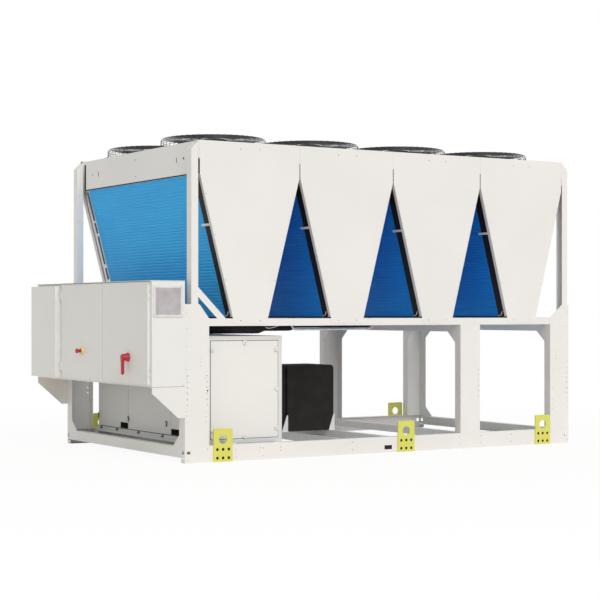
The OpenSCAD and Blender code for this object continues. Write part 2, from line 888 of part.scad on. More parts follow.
// A fan guard standing on the deck, with the motor's fixed half under its middle
module fan_guard() {
    step = (guard_r - hub_r) / guard_rings;
    top = guard_h - wire_t;
    wire_ring(guard_r);
    for (k = [0:guard_rings])
        translate([0, 0, top]) wire_ring(guard_r - k * step);
    for (a = [0:guard_arms - 1]) rotate([0, 0, a * 360 / guard_arms]) {
        translate([hub_r - wire_t, -wire_t / 2, top])
            cube([guard_r - hub_r, wire_t, wire_t]);
        translate([guard_r - wire_t, -wire_t / 2, 0]) cube([wire_t, wire_t, guard_h]);
    }
    translate([0, 0, top - motor_t]) cylinder(r = hub_r, h = motor_t + wire_t);
}

module fan_guards() {
    placed() color([0.16, 0.16, 0.17]) each_slab() for (y = fan_rows_y)
        translate([0, y, deck_z]) fan_guard();
}

// A blade is lofted from the hub (u = 0) to the tip (u = 1), each section from its trailing
// edge (v = 0) to its leading edge (v = 1). Pitch, chord and lean change along it, the sections
// are hollow on the side that the air leaves, and they thin out towards both edges.
blade_steps = 5;
function blend(a, b, u) = a + (b - a) * u;
function blade_point(u, v, side) =
    let (
        r = blend(blade_r0, blade_r1, u),
        p = blend(hub_pitch, tip_pitch, u),
        bulge = 1 - pow(2 * v - 1, 2),
        across = (v - 1 / 2) * blend(blade_root_chord, blade_chord, u),
        a = across * cos(p) / r * 180 / PI + blade_sweep * u * u,
        half_t = blade_t / 2 * blend(blade_edge_share, 1, bulge)
    )
    [r * cos(a), r * sin(a), across * sin(p) - blade_camber * bulge + side * half_t];
blade_points = [
    for (side = [1, -1], i = [0:blade_steps], j = [0:blade_steps])
        blade_point(i / blade_steps, j / blade_steps, side)
];
function blade_index(side, i, j) =
    side * (blade_steps + 1) * (blade_steps + 1) + i * (blade_steps + 1) + j;
blade_faces = concat(
    [
        for (i = [0:blade_steps - 1], j = [0:blade_steps - 1], k = [0, 1])
            k == 0
                ? [blade_index(0, i, j), blade_index(0, i, j + 1), blade_index(0, i + 1, j + 1)]
                : [blade_index(0, i, j), blade_index(0, i + 1, j + 1), blade_index(0, i + 1, j)]
    ],
    [
        for (i = [0:blade_steps - 1], j = [0:blade_steps - 1], k = [0, 1])
            k == 0
                ? [blade_index(1, i, j), blade_index(1, i + 1, j + 1), blade_index(1, i, j + 1)]
                : [blade_index(1, i, j), blade_index(1, i + 1, j), blade_index(1, i + 1, j + 1)]
    ],
    [
        for (i = [0:blade_steps - 1], end = [0, blade_steps], k = [0, 1])
            let (
                a = blade_index(0, i, end), b = blade_index(0, i + 1, end),
                c = blade_index(1, i + 1, end), d = blade_index(1, i, end)
            )
            end == 0 ? (k == 0 ? [a, b, c] : [a, c, d]) : (k == 0 ? [a, c, b] : [a, d, c])
    ],
    [
        for (j = [0:blade_steps - 1], end = [0, blade_steps], k = [0, 1])
            let (
                a = blade_index(0, end, j), b = blade_index(0, end, j + 1),
                c = blade_index(1, end, j + 1), d = blade_index(1, end, j)
            )
            end == 0 ? (k == 0 ? [a, c, b] : [a, d, c]) : (k == 0 ? [a, b, c] : [a, c, d])
    ]
);

module fan_blade() {
    polyhedron(blade_points, blade_faces);
}

module fan_rotor() {
    translate([0, 0, rotor_top_z - hub_h])
        cylinder(r1 = hub_r - hub_edge, r2 = hub_r, h = hub_edge);
    translate([0, 0, rotor_top_z - hub_h + hub_edge]) cylinder(r = hub_r, h = hub_h - hub_edge);
    for (k = [0:blade_count - 1])
        rotate([0, 0, k * 360 / blade_count])
            translate([0, 0, rotor_top_z - hub_h / 2]) fan_blade();
}

// Fans 1 to 4 stand in the near row, 5 to 8 in the far one
module fan_rotor_at(i) {
    row = i > module_count ? 1 : 0;
    placed() color([0.10, 0.10, 0.11])
        translate([(i - row * module_count - 1 / 2) * module_l, fan_rows_y[row], 0]) fan_rotor();
}

module fan_rotor_1() {
    fan_rotor_at(1);
}

module fan_rotor_2() {
    fan_rotor_at(2);
}

module fan_rotor_3() {
    fan_rotor_at(3);
}

module fan_rotor_4() {
    fan_rotor_at(4);
}

module fan_rotor_5() {
    fan_rotor_at(5);
}

module fan_rotor_6() {
    fan_rotor_at(6);
}

module fan_rotor_7() {
    fan_rotor_at(7);
}

module fan_rotor_8() {
    fan_rotor_at(8);
}

// The closed housing round the compressors, with a pocket for each access panel
module compressor_housing() {
    w = unit_w - 2 * housing_y;
    depth = panel_t - panel_proud;
    placed() color(grey_ivory)
        translate([housing_x, housing_y, housing_low_z]) difference() {
            cube([housing_l, w, housing_z - housing_low_z]);
            for (y = [-over, w - depth])
                translate([housing_rim, y, housing_rim])
                    cube([
                        housing_l - 2 * housing_rim, depth + over,
                        housing_z - housing_low_z - 2 * housing_rim
                    ]);
            for (y = [recess_y, unit_w - recess_y])
                translate([-over, y - housing_y - recess_w / 2, recess_z - housing_low_z])
                    cube([recess_d + over, recess_w, recess_h]);
        }
}

module housing_panel() {
    edge = housing_rim + seat_gap;
    l = housing_l - 2 * edge;
    h = housing_z - housing_low_z - 2 * edge;
    translate([housing_x + edge, housing_y - panel_proud - seat_gap, housing_low_z + edge])
        cube([l, panel_t, h]);
    for (at = [
        [latch_in, latch_end], [latch_in, h - latch_end], [l - latch_in, latch_end],
        [l - latch_in, h / 2], [l - latch_in, h - latch_end],
        [l / 2, latch_in], [l / 2, h - latch_in]
    ])
        translate([
            housing_x + edge + at[0], housing_y - panel_proud - seat_gap + over,
            housing_low_z + edge + at[1]
        ]) rotate([90, 0, 0]) cylinder(r = latch_r, h = latch_out + over);
}

module housing_panels() {
    placed() color(ivory) both_sides() housing_panel();
}

module evaporator() {
    placed() color([0.13, 0.13, 0.13])
        {
            translate([evap_x, evap_y + evap_d, evap_z]) rotate([90, 0, 0])
                linear_extrude(evap_d) round_rect(evap_l, evap_h, evap_edge_r);
            translate([evap_x - evap_cover_l, evap_y + evap_cover_in, evap_z])
                cube([
                    evap_cover_l + evap_edge_r, evap_d - 2 * evap_cover_in,
                    evap_h - evap_cover_in
                ]);
        }
}

// An upright pipe end that rises from height z to the trays
module pipe_end(x, z, r) {
    translate([x, 0, z]) {
        sphere(r);
        cylinder(r = r, h = rail_z - seat_gap - z);
    }
}

// A level pipe between x0 and x1
module level_pipe(x0, x1, z, r) {
    translate([x0, 0, z]) rotate([0, 90, 0]) cylinder(r = r, h = x1 - x0);
}

// The insulated pipe on the housing's roof with its thinner branch to the second module,
// and the pipe from there to the third
module suction_pipe() {
    z = rail_z - thick_pipe_drop;
    x0 = housing_x + housing_l / 2;
    x1 = housing_x + housing_l + (evap_x - housing_x - housing_l) / 2;
    taper = 2 * thick_pipe_r;
    end_x = 3 / 2 * module_l + foot_w / 2 - thin_pipe_r;
    upper_z = rail_z - upper_pipe_drop;
    upper_x = [3 / 2 * module_l + foot_w / 4, 5 / 2 * module_l - foot_w / 6];
    placed() color([0.10, 0.10, 0.10]) translate([0, evap_y, 0]) {
        level_pipe(x0, x1, z, thick_pipe_r);
        translate([x1, 0, z]) rotate([0, 90, 0])
            cylinder(r1 = thick_pipe_r, r2 = thin_pipe_r, h = taper);
        level_pipe(x1 + taper, end_x, z, thin_pipe_r);
        pipe_end(end_x, z, thin_pipe_r);
        translate([x0 + 2 * thick_pipe_r, 0, housing_z + seat_gap])
            cylinder(r = thick_pipe_r, h = z - housing_z - seat_gap);
        translate([0, pipe_pitch, 0]) {
            level_pipe(upper_x[0], upper_x[1], upper_z, upper_pipe_r);
            for (x = upper_x) pipe_end(x, upper_z, upper_pipe_r);
        }
    }
}

// The bare pipe between the second and the third module, its ends slanted and then upright
module liquid_pipe() {
    z = rail_z - bare_pipe_drop;
    x0 = 3 / 2 * module_l + pipe_rise + 2 * bare_pipe_r;
    x1 = 5 / 2 * module_l - pipe_rise - 3 * bare_pipe_r;
    placed() color([0.70, 0.71, 0.72]) translate([0, evap_y - pipe_pitch, 0]) {
        level_pipe(x0, x1, z, bare_pipe_r);
        for (end = [[x0, -1], [x1, 1]]) {
            translate([end[0], 0, z]) {
                sphere(bare_pipe_r);
                rotate([0, end[1] * 45, 0]) cylinder(r = bare_pipe_r, h = pipe_rise * sqrt(2));
            }
            pipe_end(end[0] + end[1] * pipe_rise, z + pipe_rise, bare_pipe_r);
        }
    }
}

// The hollow cabinet: back, sides, floor and top, and a front with two door openings
module cabinet_body() {
    inner_y0 = door_near_y + door_rim;
    inner_y1 = door_far_y - door_rim;
    inner_z0 = door_low + door_rim;
    inner_z1 = cabinet_h - door_top - door_rim;
    placed() color(grey_ivory) translate([cabinet_x0, 0, cabinet_z]) difference() {
        cube([cabinet_d, unit_w, cabinet_h]);
        translate([cabinet_t, cabinet_t, cabinet_t])
            cube([cabinet_d - 2 * cabinet_t, unit_w - 2 * cabinet_t, cabinet_h - 2 * cabinet_t]);
        for (y = [[inner_y0, door_seam_y - door_rim], [door_seam_y + door_rim, inner_y1]])
            translate([-over, y[0], inner_z0])
                cube([cabinet_t + 2 * over, y[1] - y[0], inner_z1 - inner_z0]);
    }
}

module cabinet_roof() {
    x0 = door_x0 - roof_front;
    placed() color(grey_ivory)
        translate([x0, -roof_over, cabinet_z + cabinet_h + seat_gap])
            cube([cabinet_x1 - x0, unit_w + 2 * roof_over, roof_t]);
}

module cabinet_side_box() {
    placed() color(grey_ivory)
        translate([cabinet_x0 - seat_gap - side_box_d, side_box_y, cabinet_z + side_box_low])
            difference() {
                cube([side_box_d, unit_w - side_box_y, side_box_h]);
                translate([cabinet_t, cabinet_t, cabinet_t])
                    cube([
                        side_box_d, unit_w - side_box_y - 2 * cabinet_t,
                        side_box_h - 2 * cabinet_t
                    ]);
            }
}

// Heights of the hinges above the ground
hinge_zs = [
    cabinet_z + door_low + hinge_in,
    cabinet_z + cabinet_h - door_top - hinge_in
];
hinge_play = 0.05;
plate_x0 = cabinet_x1 - cabinet_t - seat_gap - plate_stand - frame_t;
hinge_x = door_x0;
hinge_side = hinge_r + hinge_clear;
hinge_ys = [door_near_y - hinge_side, door_far_y + hinge_side];

// The fixed half of a hinge: barrel, pin and the leaf that holds it to the cabinet
module hinge_half() {
    translate([0, 0, -hinge_l]) cylinder(r = hinge_r, h = hinge_l - seat_gap);
    cylinder(r = hinge_pin_r, h = hinge_l);
    translate([0, 0, -over]) cylinder(r = hinge_pin_r, h = 2 * over);
}

module cabinet_hinges() {
    leaf = cabinet_x0 - seat_gap - hinge_x;
    placed() color(ivory) for (z = hinge_zs, y = hinge_ys)
        translate([hinge_x, y, z]) {
            hinge_half();
            translate([0, -frame_t / 2, -hinge_l]) cube([leaf, frame_t, hinge_l - seat_gap]);
        }
}

// A door as a folded pan with three stiffeners: w is its width away from the hinge along +Y
module door(w) {
    h = cabinet_h - door_low - door_top;
    difference() {
        union() {
            translate([door_x0, hinge_side, cabinet_z + door_low]) difference() {
                cube([door_t, w, h]);
                translate([cabinet_t, cabinet_t, cabinet_t])
                    cube([door_t, w - 2 * cabinet_t, h - 2 * cabinet_t]);
            }
            for (y = [door_rim, w / 2, w - door_rim])
                translate([door_x0, hinge_side + y - cabinet_t / 2, cabinet_z + door_low])
                    cube([door_t - cabinet_t, cabinet_t, h]);
            for (z = hinge_zs) translate([hinge_x, 0, z]) {
                cylinder(r = hinge_r, h = hinge_l);
                cube([frame_t, hinge_side + hinge_r, hinge_l]);
            }
        }
        for (z = hinge_zs) translate([hinge_x, 0, z - over])
            cylinder(r = hinge_pin_r + hinge_play, h = hinge_l + 2 * over);
    }
}

module cabinet_door_right() {
    placed() color(grey_ivory) translate([0, hinge_ys[0], 0])
        door(door_seam_y - door_gap / 2 - door_near_y);
}

// Puts its children on the face of a door, their Z pointing out of it
module on_door(y, z) {
    translate([door_x0, y, cabinet_z + z]) rotate([0, -90, 0]) children();
}

// The left door carries the stop button's collar, bored for its stem
module cabinet_door_left() {
    placed() color(grey_ivory) difference() {
        union() {
            translate([0, hinge_ys[1], 0]) mirror([0, 1, 0])
                door(door_far_y - door_seam_y - door_gap / 2);
            on_door(button_y, button_z) translate([0, 0, -over])
                cylinder(r = collar_r, h = collar_t + over);
        }
        on_door(button_y, button_z) translate([0, 0, -door_t])
            cylinder(r = stem_r + stem_play, h = door_t + collar_t + over);
    }
}

// A row of devices on the mounting plate: n blocks from y on, their middle at height z,
// each w wide, h high and d deep
module device_row(y, z, n, w, h, d) {
    for (k = [0:n - 1])
        translate([plate_x0 - d, y + k * w, z - h / 2])
            cube([d + over, w - device_gap, h]);
}

// The plate inside the cabinet on spacers in front of its back, with cable ducts, devices
// and the main isolator, whose shaft ends behind the handle on the right door
module mounting_plate() {
    y0 = door_near_y + plate_margin;
    y1 = door_far_y - plate_margin;
    z0 = cabinet_z + door_low + plate_margin;
    z1 = cabinet_z + cabinet_h - door_top - plate_margin;
    duct_pitch = (z1 - z0 - duct_w) / 3;
    row_y = handle_y + isolator_w;
    upper_z = z1 - duct_w - device_h;
    drive_z = z0 + duct_pitch * 3 / 2 + duct_w / 2;
    placed() color([0.75, 0.76, 0.76]) {
        translate([plate_x0, y0, z0]) cube([frame_t, y1 - y0, z1 - z0]);
        for (y = [y0 + plate_margin, y1 - plate_margin], z = [z0 + plate_margin, z1 - plate_margin])
            translate([plate_x0 + frame_t, y, z]) rotate([0, 90, 0])
                cylinder(r = hinge_r, h = plate_stand);
        for (k = [0, 1, 3])
            translate([plate_x0 - duct_d, y0, z0 + k * duct_pitch])
                cube([duct_d + over, y1 - y0, duct_w]);
        for (y = [y0, y1 - duct_w])
            translate([plate_x0 - duct_d, y, z0]) cube([duct_d + over, duct_w, z1 - z0]);
        device_row(row_y, upper_z, 8, device_w, device_h, device_d);
        device_row(row_y + 9 * device_w, upper_z, 6, device_w, device_h, device_d);
        device_row(row_y, drive_z, 4, drive_w, drive_h, drive_d);
        device_row(row_y + 5 * drive_w, drive_z, 3, drive_w, drive_h, drive_d);
        device_row(row_y + 2 * device_w, z0 + (duct_pitch + duct_w) / 2, 12,
            device_w, device_h, device_d);
        translate([
            plate_x0 - isolator_d, handle_y - isolator_w / 2,
            cabinet_z + handle_z - isolator_w / 2
        ]) cube([isolator_d + over, isolator_w, isolator_w]);
        translate([cabinet_x0 + device_gap, handle_y, cabinet_z + handle_z]) rotate([0, 90, 0])
            cylinder(r = isolator_shaft_r, h = plate_x0 - isolator_d - cabinet_x0);
    }
}

// The filter grille on the near side of the cabinet: rim, slats and backing
module filter_grille() {
    inner_h = grille_h - 2 * grille_rim;
    step = inner_h / grille_slats;
    placed() color(ivory)
        translate([
            cabinet_x0 + grille_in, -grille_d - seat_gap,
            cabinet_z + cabinet_h - grille_top - grille_h
        ]) {
            difference() {
                cube([grille_l, grille_d, grille_h]);
                translate([grille_rim, -over, grille_rim])
                    cube([grille_l - 2 * grille_rim, grille_d - frame_t + over, inner_h]);
            }
            for (k = [0:grille_slats - 1])
                translate([grille_rim, grille_d / 4, grille_rim + k * step])
                    cube([grille_l - 2 * grille_rim, grille_d / 2, step / 2]);
        }
}

// The rotary handle on the right door, its lever hanging down
module isolator_handle() {
    reach = handle_out - handle_t;
    placed() color([0.78, 0.12, 0.16])
        on_door(handle_y, handle_z) translate([0, 0, seat_gap]) {
            cylinder(r = handle_boss_r, h = reach / 2);
            cylinder(r = handle_hub_r, h = reach + over);
            translate([0, 0, reach]) {
                linear_extrude(handle_t - seat_gap) {
                    circle(handle_boss_r);
                    translate([-handle_lever + handle_w / 2, -handle_w / 2])
                        square([handle_lever - handle_w / 2, handle_w]);
                    translate([-handle_lever + handle_w / 2, 0]) circle(handle_w / 2);
                }
            }
        }
}

// The stop button: a cap on the stem that slides in the collar on the left door
module stop_button() {
    placed() color([0.78, 0.12, 0.16]) on_door(button_y, button_z) {
        translate([0, 0, -cabinet_t]) cylinder(r = stem_r, h = button_out - cap_t + cabinet_t);
        translate([0, 0, button_out - cap_t]) cylinder(r = stem_r, h = cap_t);
        translate([0, 0, button_out - cap_t]) cylinder(r = cap_r, h = cap_t - cap_edge);
        translate([0, 0, button_out - cap_edge])
            cylinder(r1 = cap_r, r2 = cap_r - cap_edge, h = cap_edge);
    }
}

module cabinet_bracket() {
    top = cabinet_z - seat_gap;
    sheet_xz([
        [cabinet_x0, top], [cabinet_x0, top - bracket_front_h],
        [cabinet_x1 - bracket_flat, top - bracket_back_h],
        [cabinet_x1, top - bracket_back_h], [cabinet_x1, top]
    ], frame_t);
    translate([cabinet_x0, 0, top - frame_t]) cube([cabinet_d, beam_w, frame_t]);
    translate([cabinet_x1 - frame_t, 0, top - bracket_back_h])
        cube([frame_t, beam_w, bracket_back_h]);
}

module cabinet_brackets() {
    placed() color(grey_ivory) both_sides() cabinet_bracket();
}

module lifting_lug() {
    translate([0, -seat_gap, 0]) rotate([90, 0, 0]) linear_extrude(lug_t) difference() {
        union() {
            translate([-lug_w / 2, 0]) square([lug_w, lug_h - lug_corner_r]);
            translate([-lug_w / 2, 0]) round_rect(lug_w, lug_h, lug_corner_r);
        }
        translate([0, lug_eye_z]) circle(lug_eye_r);
        for (x = [-1, 0, 1], z = [lug_hole_z, lug_hole_z + lug_row_h])
            translate([x * lug_hole_x, z]) circle(lug_hole_r);
    }
}

module lifting_lugs() {
    placed() color([0.88, 0.88, 0.42]) both_sides() for (x = lug_xs)
        translate([x, 0, 0]) lifting_lug();
}

base_rails();
end_frame_left();
end_frame_right();
base_beams();
lower_posts_near();
lower_posts_far();
mid_rails();
portal_beams();
upper_posts();
end_skirts();
side_panels_near();
side_panels_far();
coils();
coil_ends();
coil_trays();
fan_deck_1();
fan_deck_2();
fan_deck_3();
fan_deck_4();
fan_guards();
fan_rotor_1();
fan_rotor_2();
fan_rotor_3();
fan_rotor_4();
fan_rotor_5();
fan_rotor_6();
fan_rotor_7();
fan_rotor_8();
compressor_housing();
housing_panels();
evaporator();
suction_pipe();
liquid_pipe();
cabinet_body();
cabinet_roof();
cabinet_side_box();
cabinet_hinges();
cabinet_door_left();
cabinet_door_right();
mounting_plate();
filter_grille();
isolator_handle();
stop_button();
cabinet_brackets();
lifting_lugs();
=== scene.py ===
import json
import math

import bmesh
import bpy
from mathutils import Matrix, Vector


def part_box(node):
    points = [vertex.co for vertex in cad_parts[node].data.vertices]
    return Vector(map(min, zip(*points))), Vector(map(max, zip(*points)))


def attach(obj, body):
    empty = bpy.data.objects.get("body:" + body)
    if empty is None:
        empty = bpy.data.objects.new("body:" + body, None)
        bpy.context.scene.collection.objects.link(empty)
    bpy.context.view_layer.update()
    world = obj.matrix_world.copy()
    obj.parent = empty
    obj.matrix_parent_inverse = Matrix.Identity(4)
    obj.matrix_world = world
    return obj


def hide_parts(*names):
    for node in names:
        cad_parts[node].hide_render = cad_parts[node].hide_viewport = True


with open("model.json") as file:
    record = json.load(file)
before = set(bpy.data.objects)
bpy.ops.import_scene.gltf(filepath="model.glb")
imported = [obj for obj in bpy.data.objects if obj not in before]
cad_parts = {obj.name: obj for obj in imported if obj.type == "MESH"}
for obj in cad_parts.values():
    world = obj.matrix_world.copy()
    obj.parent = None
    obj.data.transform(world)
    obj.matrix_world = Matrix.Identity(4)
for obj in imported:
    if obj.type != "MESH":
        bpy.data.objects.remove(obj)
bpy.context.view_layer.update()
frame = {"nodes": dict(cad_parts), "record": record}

MM = 0.001
UNIT_W = 2236
MODULE_L = 900
MODULES_L = 4 * MODULE_L
DECK_Z = 2470
RAIL_Z = 1103
GAP_Z = 2213
FOOT = 156
COIL_T = 46
SLANT = (MODULE_L / 2 - 4 - FOOT) / (GAP_Z - RAIL_Z)
COIL_INSET = 3 + 0.3 + SLANT * 12 + 1
COIL_LOW_Z = 1106.3
COIL_HIGH_Z = 2212.7
HEADER_Y0, COIL_Y0, COIL_Y1, HEADER_Y1 = 50, 125, 2086, 2186
FAN_ROWS = (610, UNIT_W - 610)
LUG_XS = (201, 1924, 3379)
HANDLE_Y = 377
FLOOR_Z = 65.6

# Place of the drawing's own zero point in the shared frame
edge_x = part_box("end_frame_left")[0].x
side_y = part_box("base_rails")[0].y


def at(s, y, z):
    return Vector((edge_x + (s + 125) * MM, side_y + y * MM, z * MM))


DOOR_X = (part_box("cabinet_door_right")[0].x + 0.007 - edge_x) / MM - 125
CABINET_X0 = (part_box("cabinet_body")[0].x - edge_x) / MM - 125
CABINET_X1 = (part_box("cabinet_body")[1].x - edge_x) / MM - 125
CABINET_Z0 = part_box("cabinet_body")[0].z / MM
CABINET_Z1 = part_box("cabinet_body")[1].z / MM


def half(z):
    return FOOT + SLANT * (z - RAIL_Z)


# Materials


class Nodes:
    def __init__(self, name, color, roughness, metallic=0.0):
        self.mat = bpy.data.materials.new(name)
        self.mat.use_nodes = True
        self.tree = self.mat.node_tree
        self.shader = self.tree.nodes["Principled BSDF"]
        self.shader.inputs["Base Color"].default_value = (*color, 1)
        self.shader.inputs["Roughness"].default_value = roughness
        self.shader.inputs["Metallic"].default_value = metallic
        self.mat.diffuse_color = (*color, 1)
        self.coords = self.tree.nodes.new("ShaderNodeTexCoord").outputs["Object"]

    def add(self, kind, **values):
        node = self.tree.nodes.new(kind)
        for key, value in values.items():
            setattr(node, key, value)
        return node

    def link(self, out, into):
        self.tree.links.new(out, into)

    def noise(self, scale, detail=3.0, stretch=None):
        source = self.coords
        if stretch:
            mapping = self.add("ShaderNodeMapping")
            mapping.inputs["Scale"].default_value = stretch
            self.link(source, mapping.inputs["Vector"])
            source = mapping.outputs["Vector"]
        node = self.add("ShaderNodeTexNoise")
        node.inputs["Scale"].default_value = scale
        node.inputs["Detail"].default_value = detail
        self.link(source, node.inputs["Vector"])
        return node.outputs["Fac"]

    def ramp(self, value, low, high, a=0.35, b=0.65):
        node = self.add("ShaderNodeValToRGB")
        node.color_ramp.elements[0].position = a
        node.color_ramp.elements[1].position = b
        node.color_ramp.elements[0].color = (*low, 1)
        node.color_ramp.elements[1].color = (*high, 1)
        self.link(value, node.inputs["Fac"])
        return node.outputs["Color"]

    def span(self, value, low, high):
        node = self.add("ShaderNodeMapRange")
        node.inputs["To Min"].default_value = low
        node.inputs["To Max"].default_value = high
        self.link(value, node.inputs["Value"])
        return node.outputs["Result"]

    def bump(self, value, strength, distance):
        node = self.add("ShaderNodeBump")
        node.inputs["Strength"].default_value = strength
        node.inputs["Distance"].default_value = distance
        self.link(value, node.inputs["Height"])
        self.link(node.outputs["Normal"], self.shader.inputs["Normal"])

    def color(self, out):
        self.link(out, self.shader.inputs["Base Color"])

    def rough(self, out):
        self.link(out, self.shader.inputs["Roughness"])


def shade(color, factor):
    return tuple(min(1.0, c * factor) for c in color)


def powder_coat(name, color, roughness=0.42):
    n = Nodes(name, color, roughness)
    n.color(n.ramp(n.noise(1.3, 4.0), shade(color, 0.975), shade(color, 1.015)))
    n.rough(n.span(n.noise(9.0, 4.0), roughness - 0.06, roughness + 0.07))
    n.bump(n.noise(420.0, 2.0), 0.12, 0.0004)
    n.shader.inputs["Specular IOR Level"].default_value = 0.42
    return n.mat


def zinc(name, color, roughness=0.38):
    n = Nodes(name, color, roughness, 0.85)
    n.color(n.ramp(n.noise(26.0, 5.0), shade(color, 0.86), shade(color, 1.08)))
    n.rough(n.span(n.noise(60.0, 3.0), roughness - 0.1, roughness + 0.12))
    n.bump(n.noise(180.0, 2.0), 0.15, 0.0003)
    return n.mat


def plastic(name, color, roughness, grain=600.0, bump=0.2):
    n = Nodes(name, color, roughness)
    n.color(n.ramp(n.noise(14.0, 3.0), shade(color, 0.92), shade(color, 1.06)))
    n.rough(n.span(n.noise(40.0, 3.0), roughness - 0.05, roughness + 0.08))
    n.bump(n.noise(grain, 2.0), bump, 0.0003)
    return n.mat


def foam(name, color):
    n = Nodes(name, color, 0.72)
    n.shader.inputs["Specular IOR Level"].default_value = 0.25
    n.color(n.ramp(n.noise(7.0, 5.0), shade(color, 0.8), shade(color, 1.25)))
    n.rough(n.span(n.noise(16.0, 4.0), 0.58, 0.82))
    n.bump(n.noise(55.0, 5.0), 0.35, 0.0015)
    return n.mat


def fin_blue(name, color):
    n = Nodes(name, color, 0.5)
    n.shader.inputs["Specular IOR Level"].default_value = 0.3
    split = n.add("ShaderNodeSeparateXYZ")
    n.link(n.coords, split.inputs["Vector"])
    fins = n.add("ShaderNodeMath", operation="MULTIPLY")
    fins.inputs[1].default_value = 2 * math.pi / 0.0042
    n.link(split.outputs["Y"], fins.inputs[0])
    wave = n.add("ShaderNodeMath", operation="SINE")
    n.link(fins.outputs["Value"], wave.inputs[0])
    n.color(n.ramp(n.noise(4.0, 2.0, (1, 0.4, 1.6)), shade(color, 0.96), shade(color, 1.04)))
    n.rough(n.span(n.noise(30.0, 3.0), 0.44, 0.56))
    n.bump(wave.outputs["Value"], 0.35, 0.0008)
    return n.mat


IVORY = (0.870, 0.852, 0.824)
paint = powder_coat("ivory_paint", IVORY)
end_paint = powder_coat("ivory_paint_end", (0.862, 0.862, 0.838))
housing_paint = powder_coat("ivory_paint_housing", (0.775, 0.775, 0.755))
# Two copies of the fin blue: a brighter one for the outer faces of the end coils, and a darker one of painted shade
# for the faces inside the gaps between modules
blue = fin_blue("blue_fins", (0.030, 0.48, 1.0))
blue_painted_shade = fin_blue("blue_fins_painted_shade", (0.002, 0.280, 0.86))
blue_painted_shade.node_tree.nodes["Principled BSDF"].inputs["Specular IOR Level"].default_value = 0.2
# Black rubber for seals, also used for black plugs, dots, slots and a plate that are painted shade of holes and
# slots
seal_and_shade_black = plastic("black_seal_and_painted_shade", (0.012, 0.012, 0.0115), 0.6)
seal_and_shade_black.node_tree.nodes["Principled BSDF"].inputs["Specular IOR Level"].default_value = 0.25
galvanised = zinc("zinc", (0.62, 0.63, 0.64))
wire = plastic("guard_coating", (0.055, 0.055, 0.057), 0.45)
blade = plastic("blade_black", (0.020, 0.020, 0.022), 0.48)
insulation = foam("foam_black", (0.016, 0.0145, 0.013))
red = plastic("red_moulded", (0.47, 0.014, 0.034), 0.30, 500.0, 0.08)
yellow = plastic("yellow_moulded", (0.80, 0.66, 0.10), 0.38, 500.0, 0.08)
lug_paint = powder_coat("yellow_paint", (0.74, 0.73, 0.145), 0.38)
copper = zinc("copper_tube", (0.52, 0.25, 0.13), 0.34)
mesh_grey = plastic("filter_mesh", (0.72, 0.685, 0.70), 0.7)
filter_white = plastic("filter_back", (0.66, 0.63, 0.65), 0.8)
grille_paint = plastic("grille_plastic", (0.79, 0.775, 0.76), 0.5, 500.0, 0.1)
device_grey = plastic("device_grey", (0.40, 0.41, 0.42), 0.5)
seam_grey = plastic("seam_grey", (0.52, 0.52, 0.51), 0.6)
# Dark zinc for the strip on the beam under the housing: painted shade of the gap there
dark_beam_shade = zinc("painted_shade_zinc", (0.36, 0.355, 0.33))
# Near-black painted shade for recesses, slots and the gap round the panels
recess_shade_black = plastic("recess_painted_shade", (0.006, 0.006, 0.006), 0.9)
recess_shade_black.node_tree.nodes["Principled BSDF"].inputs["Specular IOR Level"].default_value = 0.1

by_slot = {
    "frame_paint": paint,
    "end_paint": end_paint,
    "coil_fins": blue,
    "header_metal": seal_and_shade_black,
    "galvanised": galvanised,
    "guard_wire": wire,
    "fan_plastic": blade,
    "insulation": insulation,
    "red_plastic": red,
    "lug_paint": lug_paint,
}
for part in frame["record"]["subparts"]:
    node = frame["nodes"][part["node"]]
    node.data.materials.clear()
    node.data.materials.append(by_slot[part["material_slot"]])
frame["nodes"]["compressor_housing"].data.materials[0] = housing_paint


# Mesh helpers


def piece(name, bm, mats, body, replaced=(), smooth=None):
    mesh = bpy.data.meshes.new(name)
    bm.normal_update()
    bm.to_mesh(mesh)
    bm.free()
    for mat in mats if isinstance(mats, (list, tuple)) else [mats]:
        mesh.materials.append(mat)
    obj = bpy.data.objects.new(name, mesh)
    bpy.context.scene.collection.objects.link(obj)
    if smooth is not None:
        for face in mesh.polygons:
            face.use_smooth = True
        mesh.set_sharp_from_angle(angle=math.radians(smooth))
    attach(obj, body)
    if replaced:
        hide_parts(*replaced)
    return obj


def grid(bm, rows, closed_u=False, closed_v=False, mat=0, flip=False):
    """Skins rows of points; every row has as many points."""
    verts = [[bm.verts.new(p) for p in row] for row in rows]
    n, m = len(verts), len(verts[0])
    for i in range(n if closed_u else n - 1):
        for j in range(m if closed_v else m - 1):
            quad = [
                verts[i][j], verts[(i + 1) % n][j],
                verts[(i + 1) % n][(j + 1) % m], verts[i][(j + 1) % m],
            ]
            face = bm.faces.new(reversed(quad) if flip else quad)
            face.material_index = mat
    return verts


def cap(bm, ring, flip=False, mat=0):
    face = bm.faces.new(reversed(ring) if flip else ring)
    face.material_index = mat


def frame_axes(direction):
    z = direction.normalized()
    x = z.orthogonal().normalized()
    return x, z.cross(x)


def rod(bm, a, b, r, sides=6, caps=True, mat=0, r2=None):
    x, y = frame_axes(b - a)
    rings = []
    for p, radius in ((a, r), (b, r if r2 is None else r2)):
        rings.append([
            p + radius * (math.cos(t) * x + math.sin(t) * y)
            for t in (2 * math.pi * k / sides for k in range(sides))
        ])
    verts = grid(bm, rings, closed_v=True, mat=mat)
    if caps:
        cap(bm, verts[0], mat=mat)
        cap(bm, verts[1], flip=True, mat=mat)


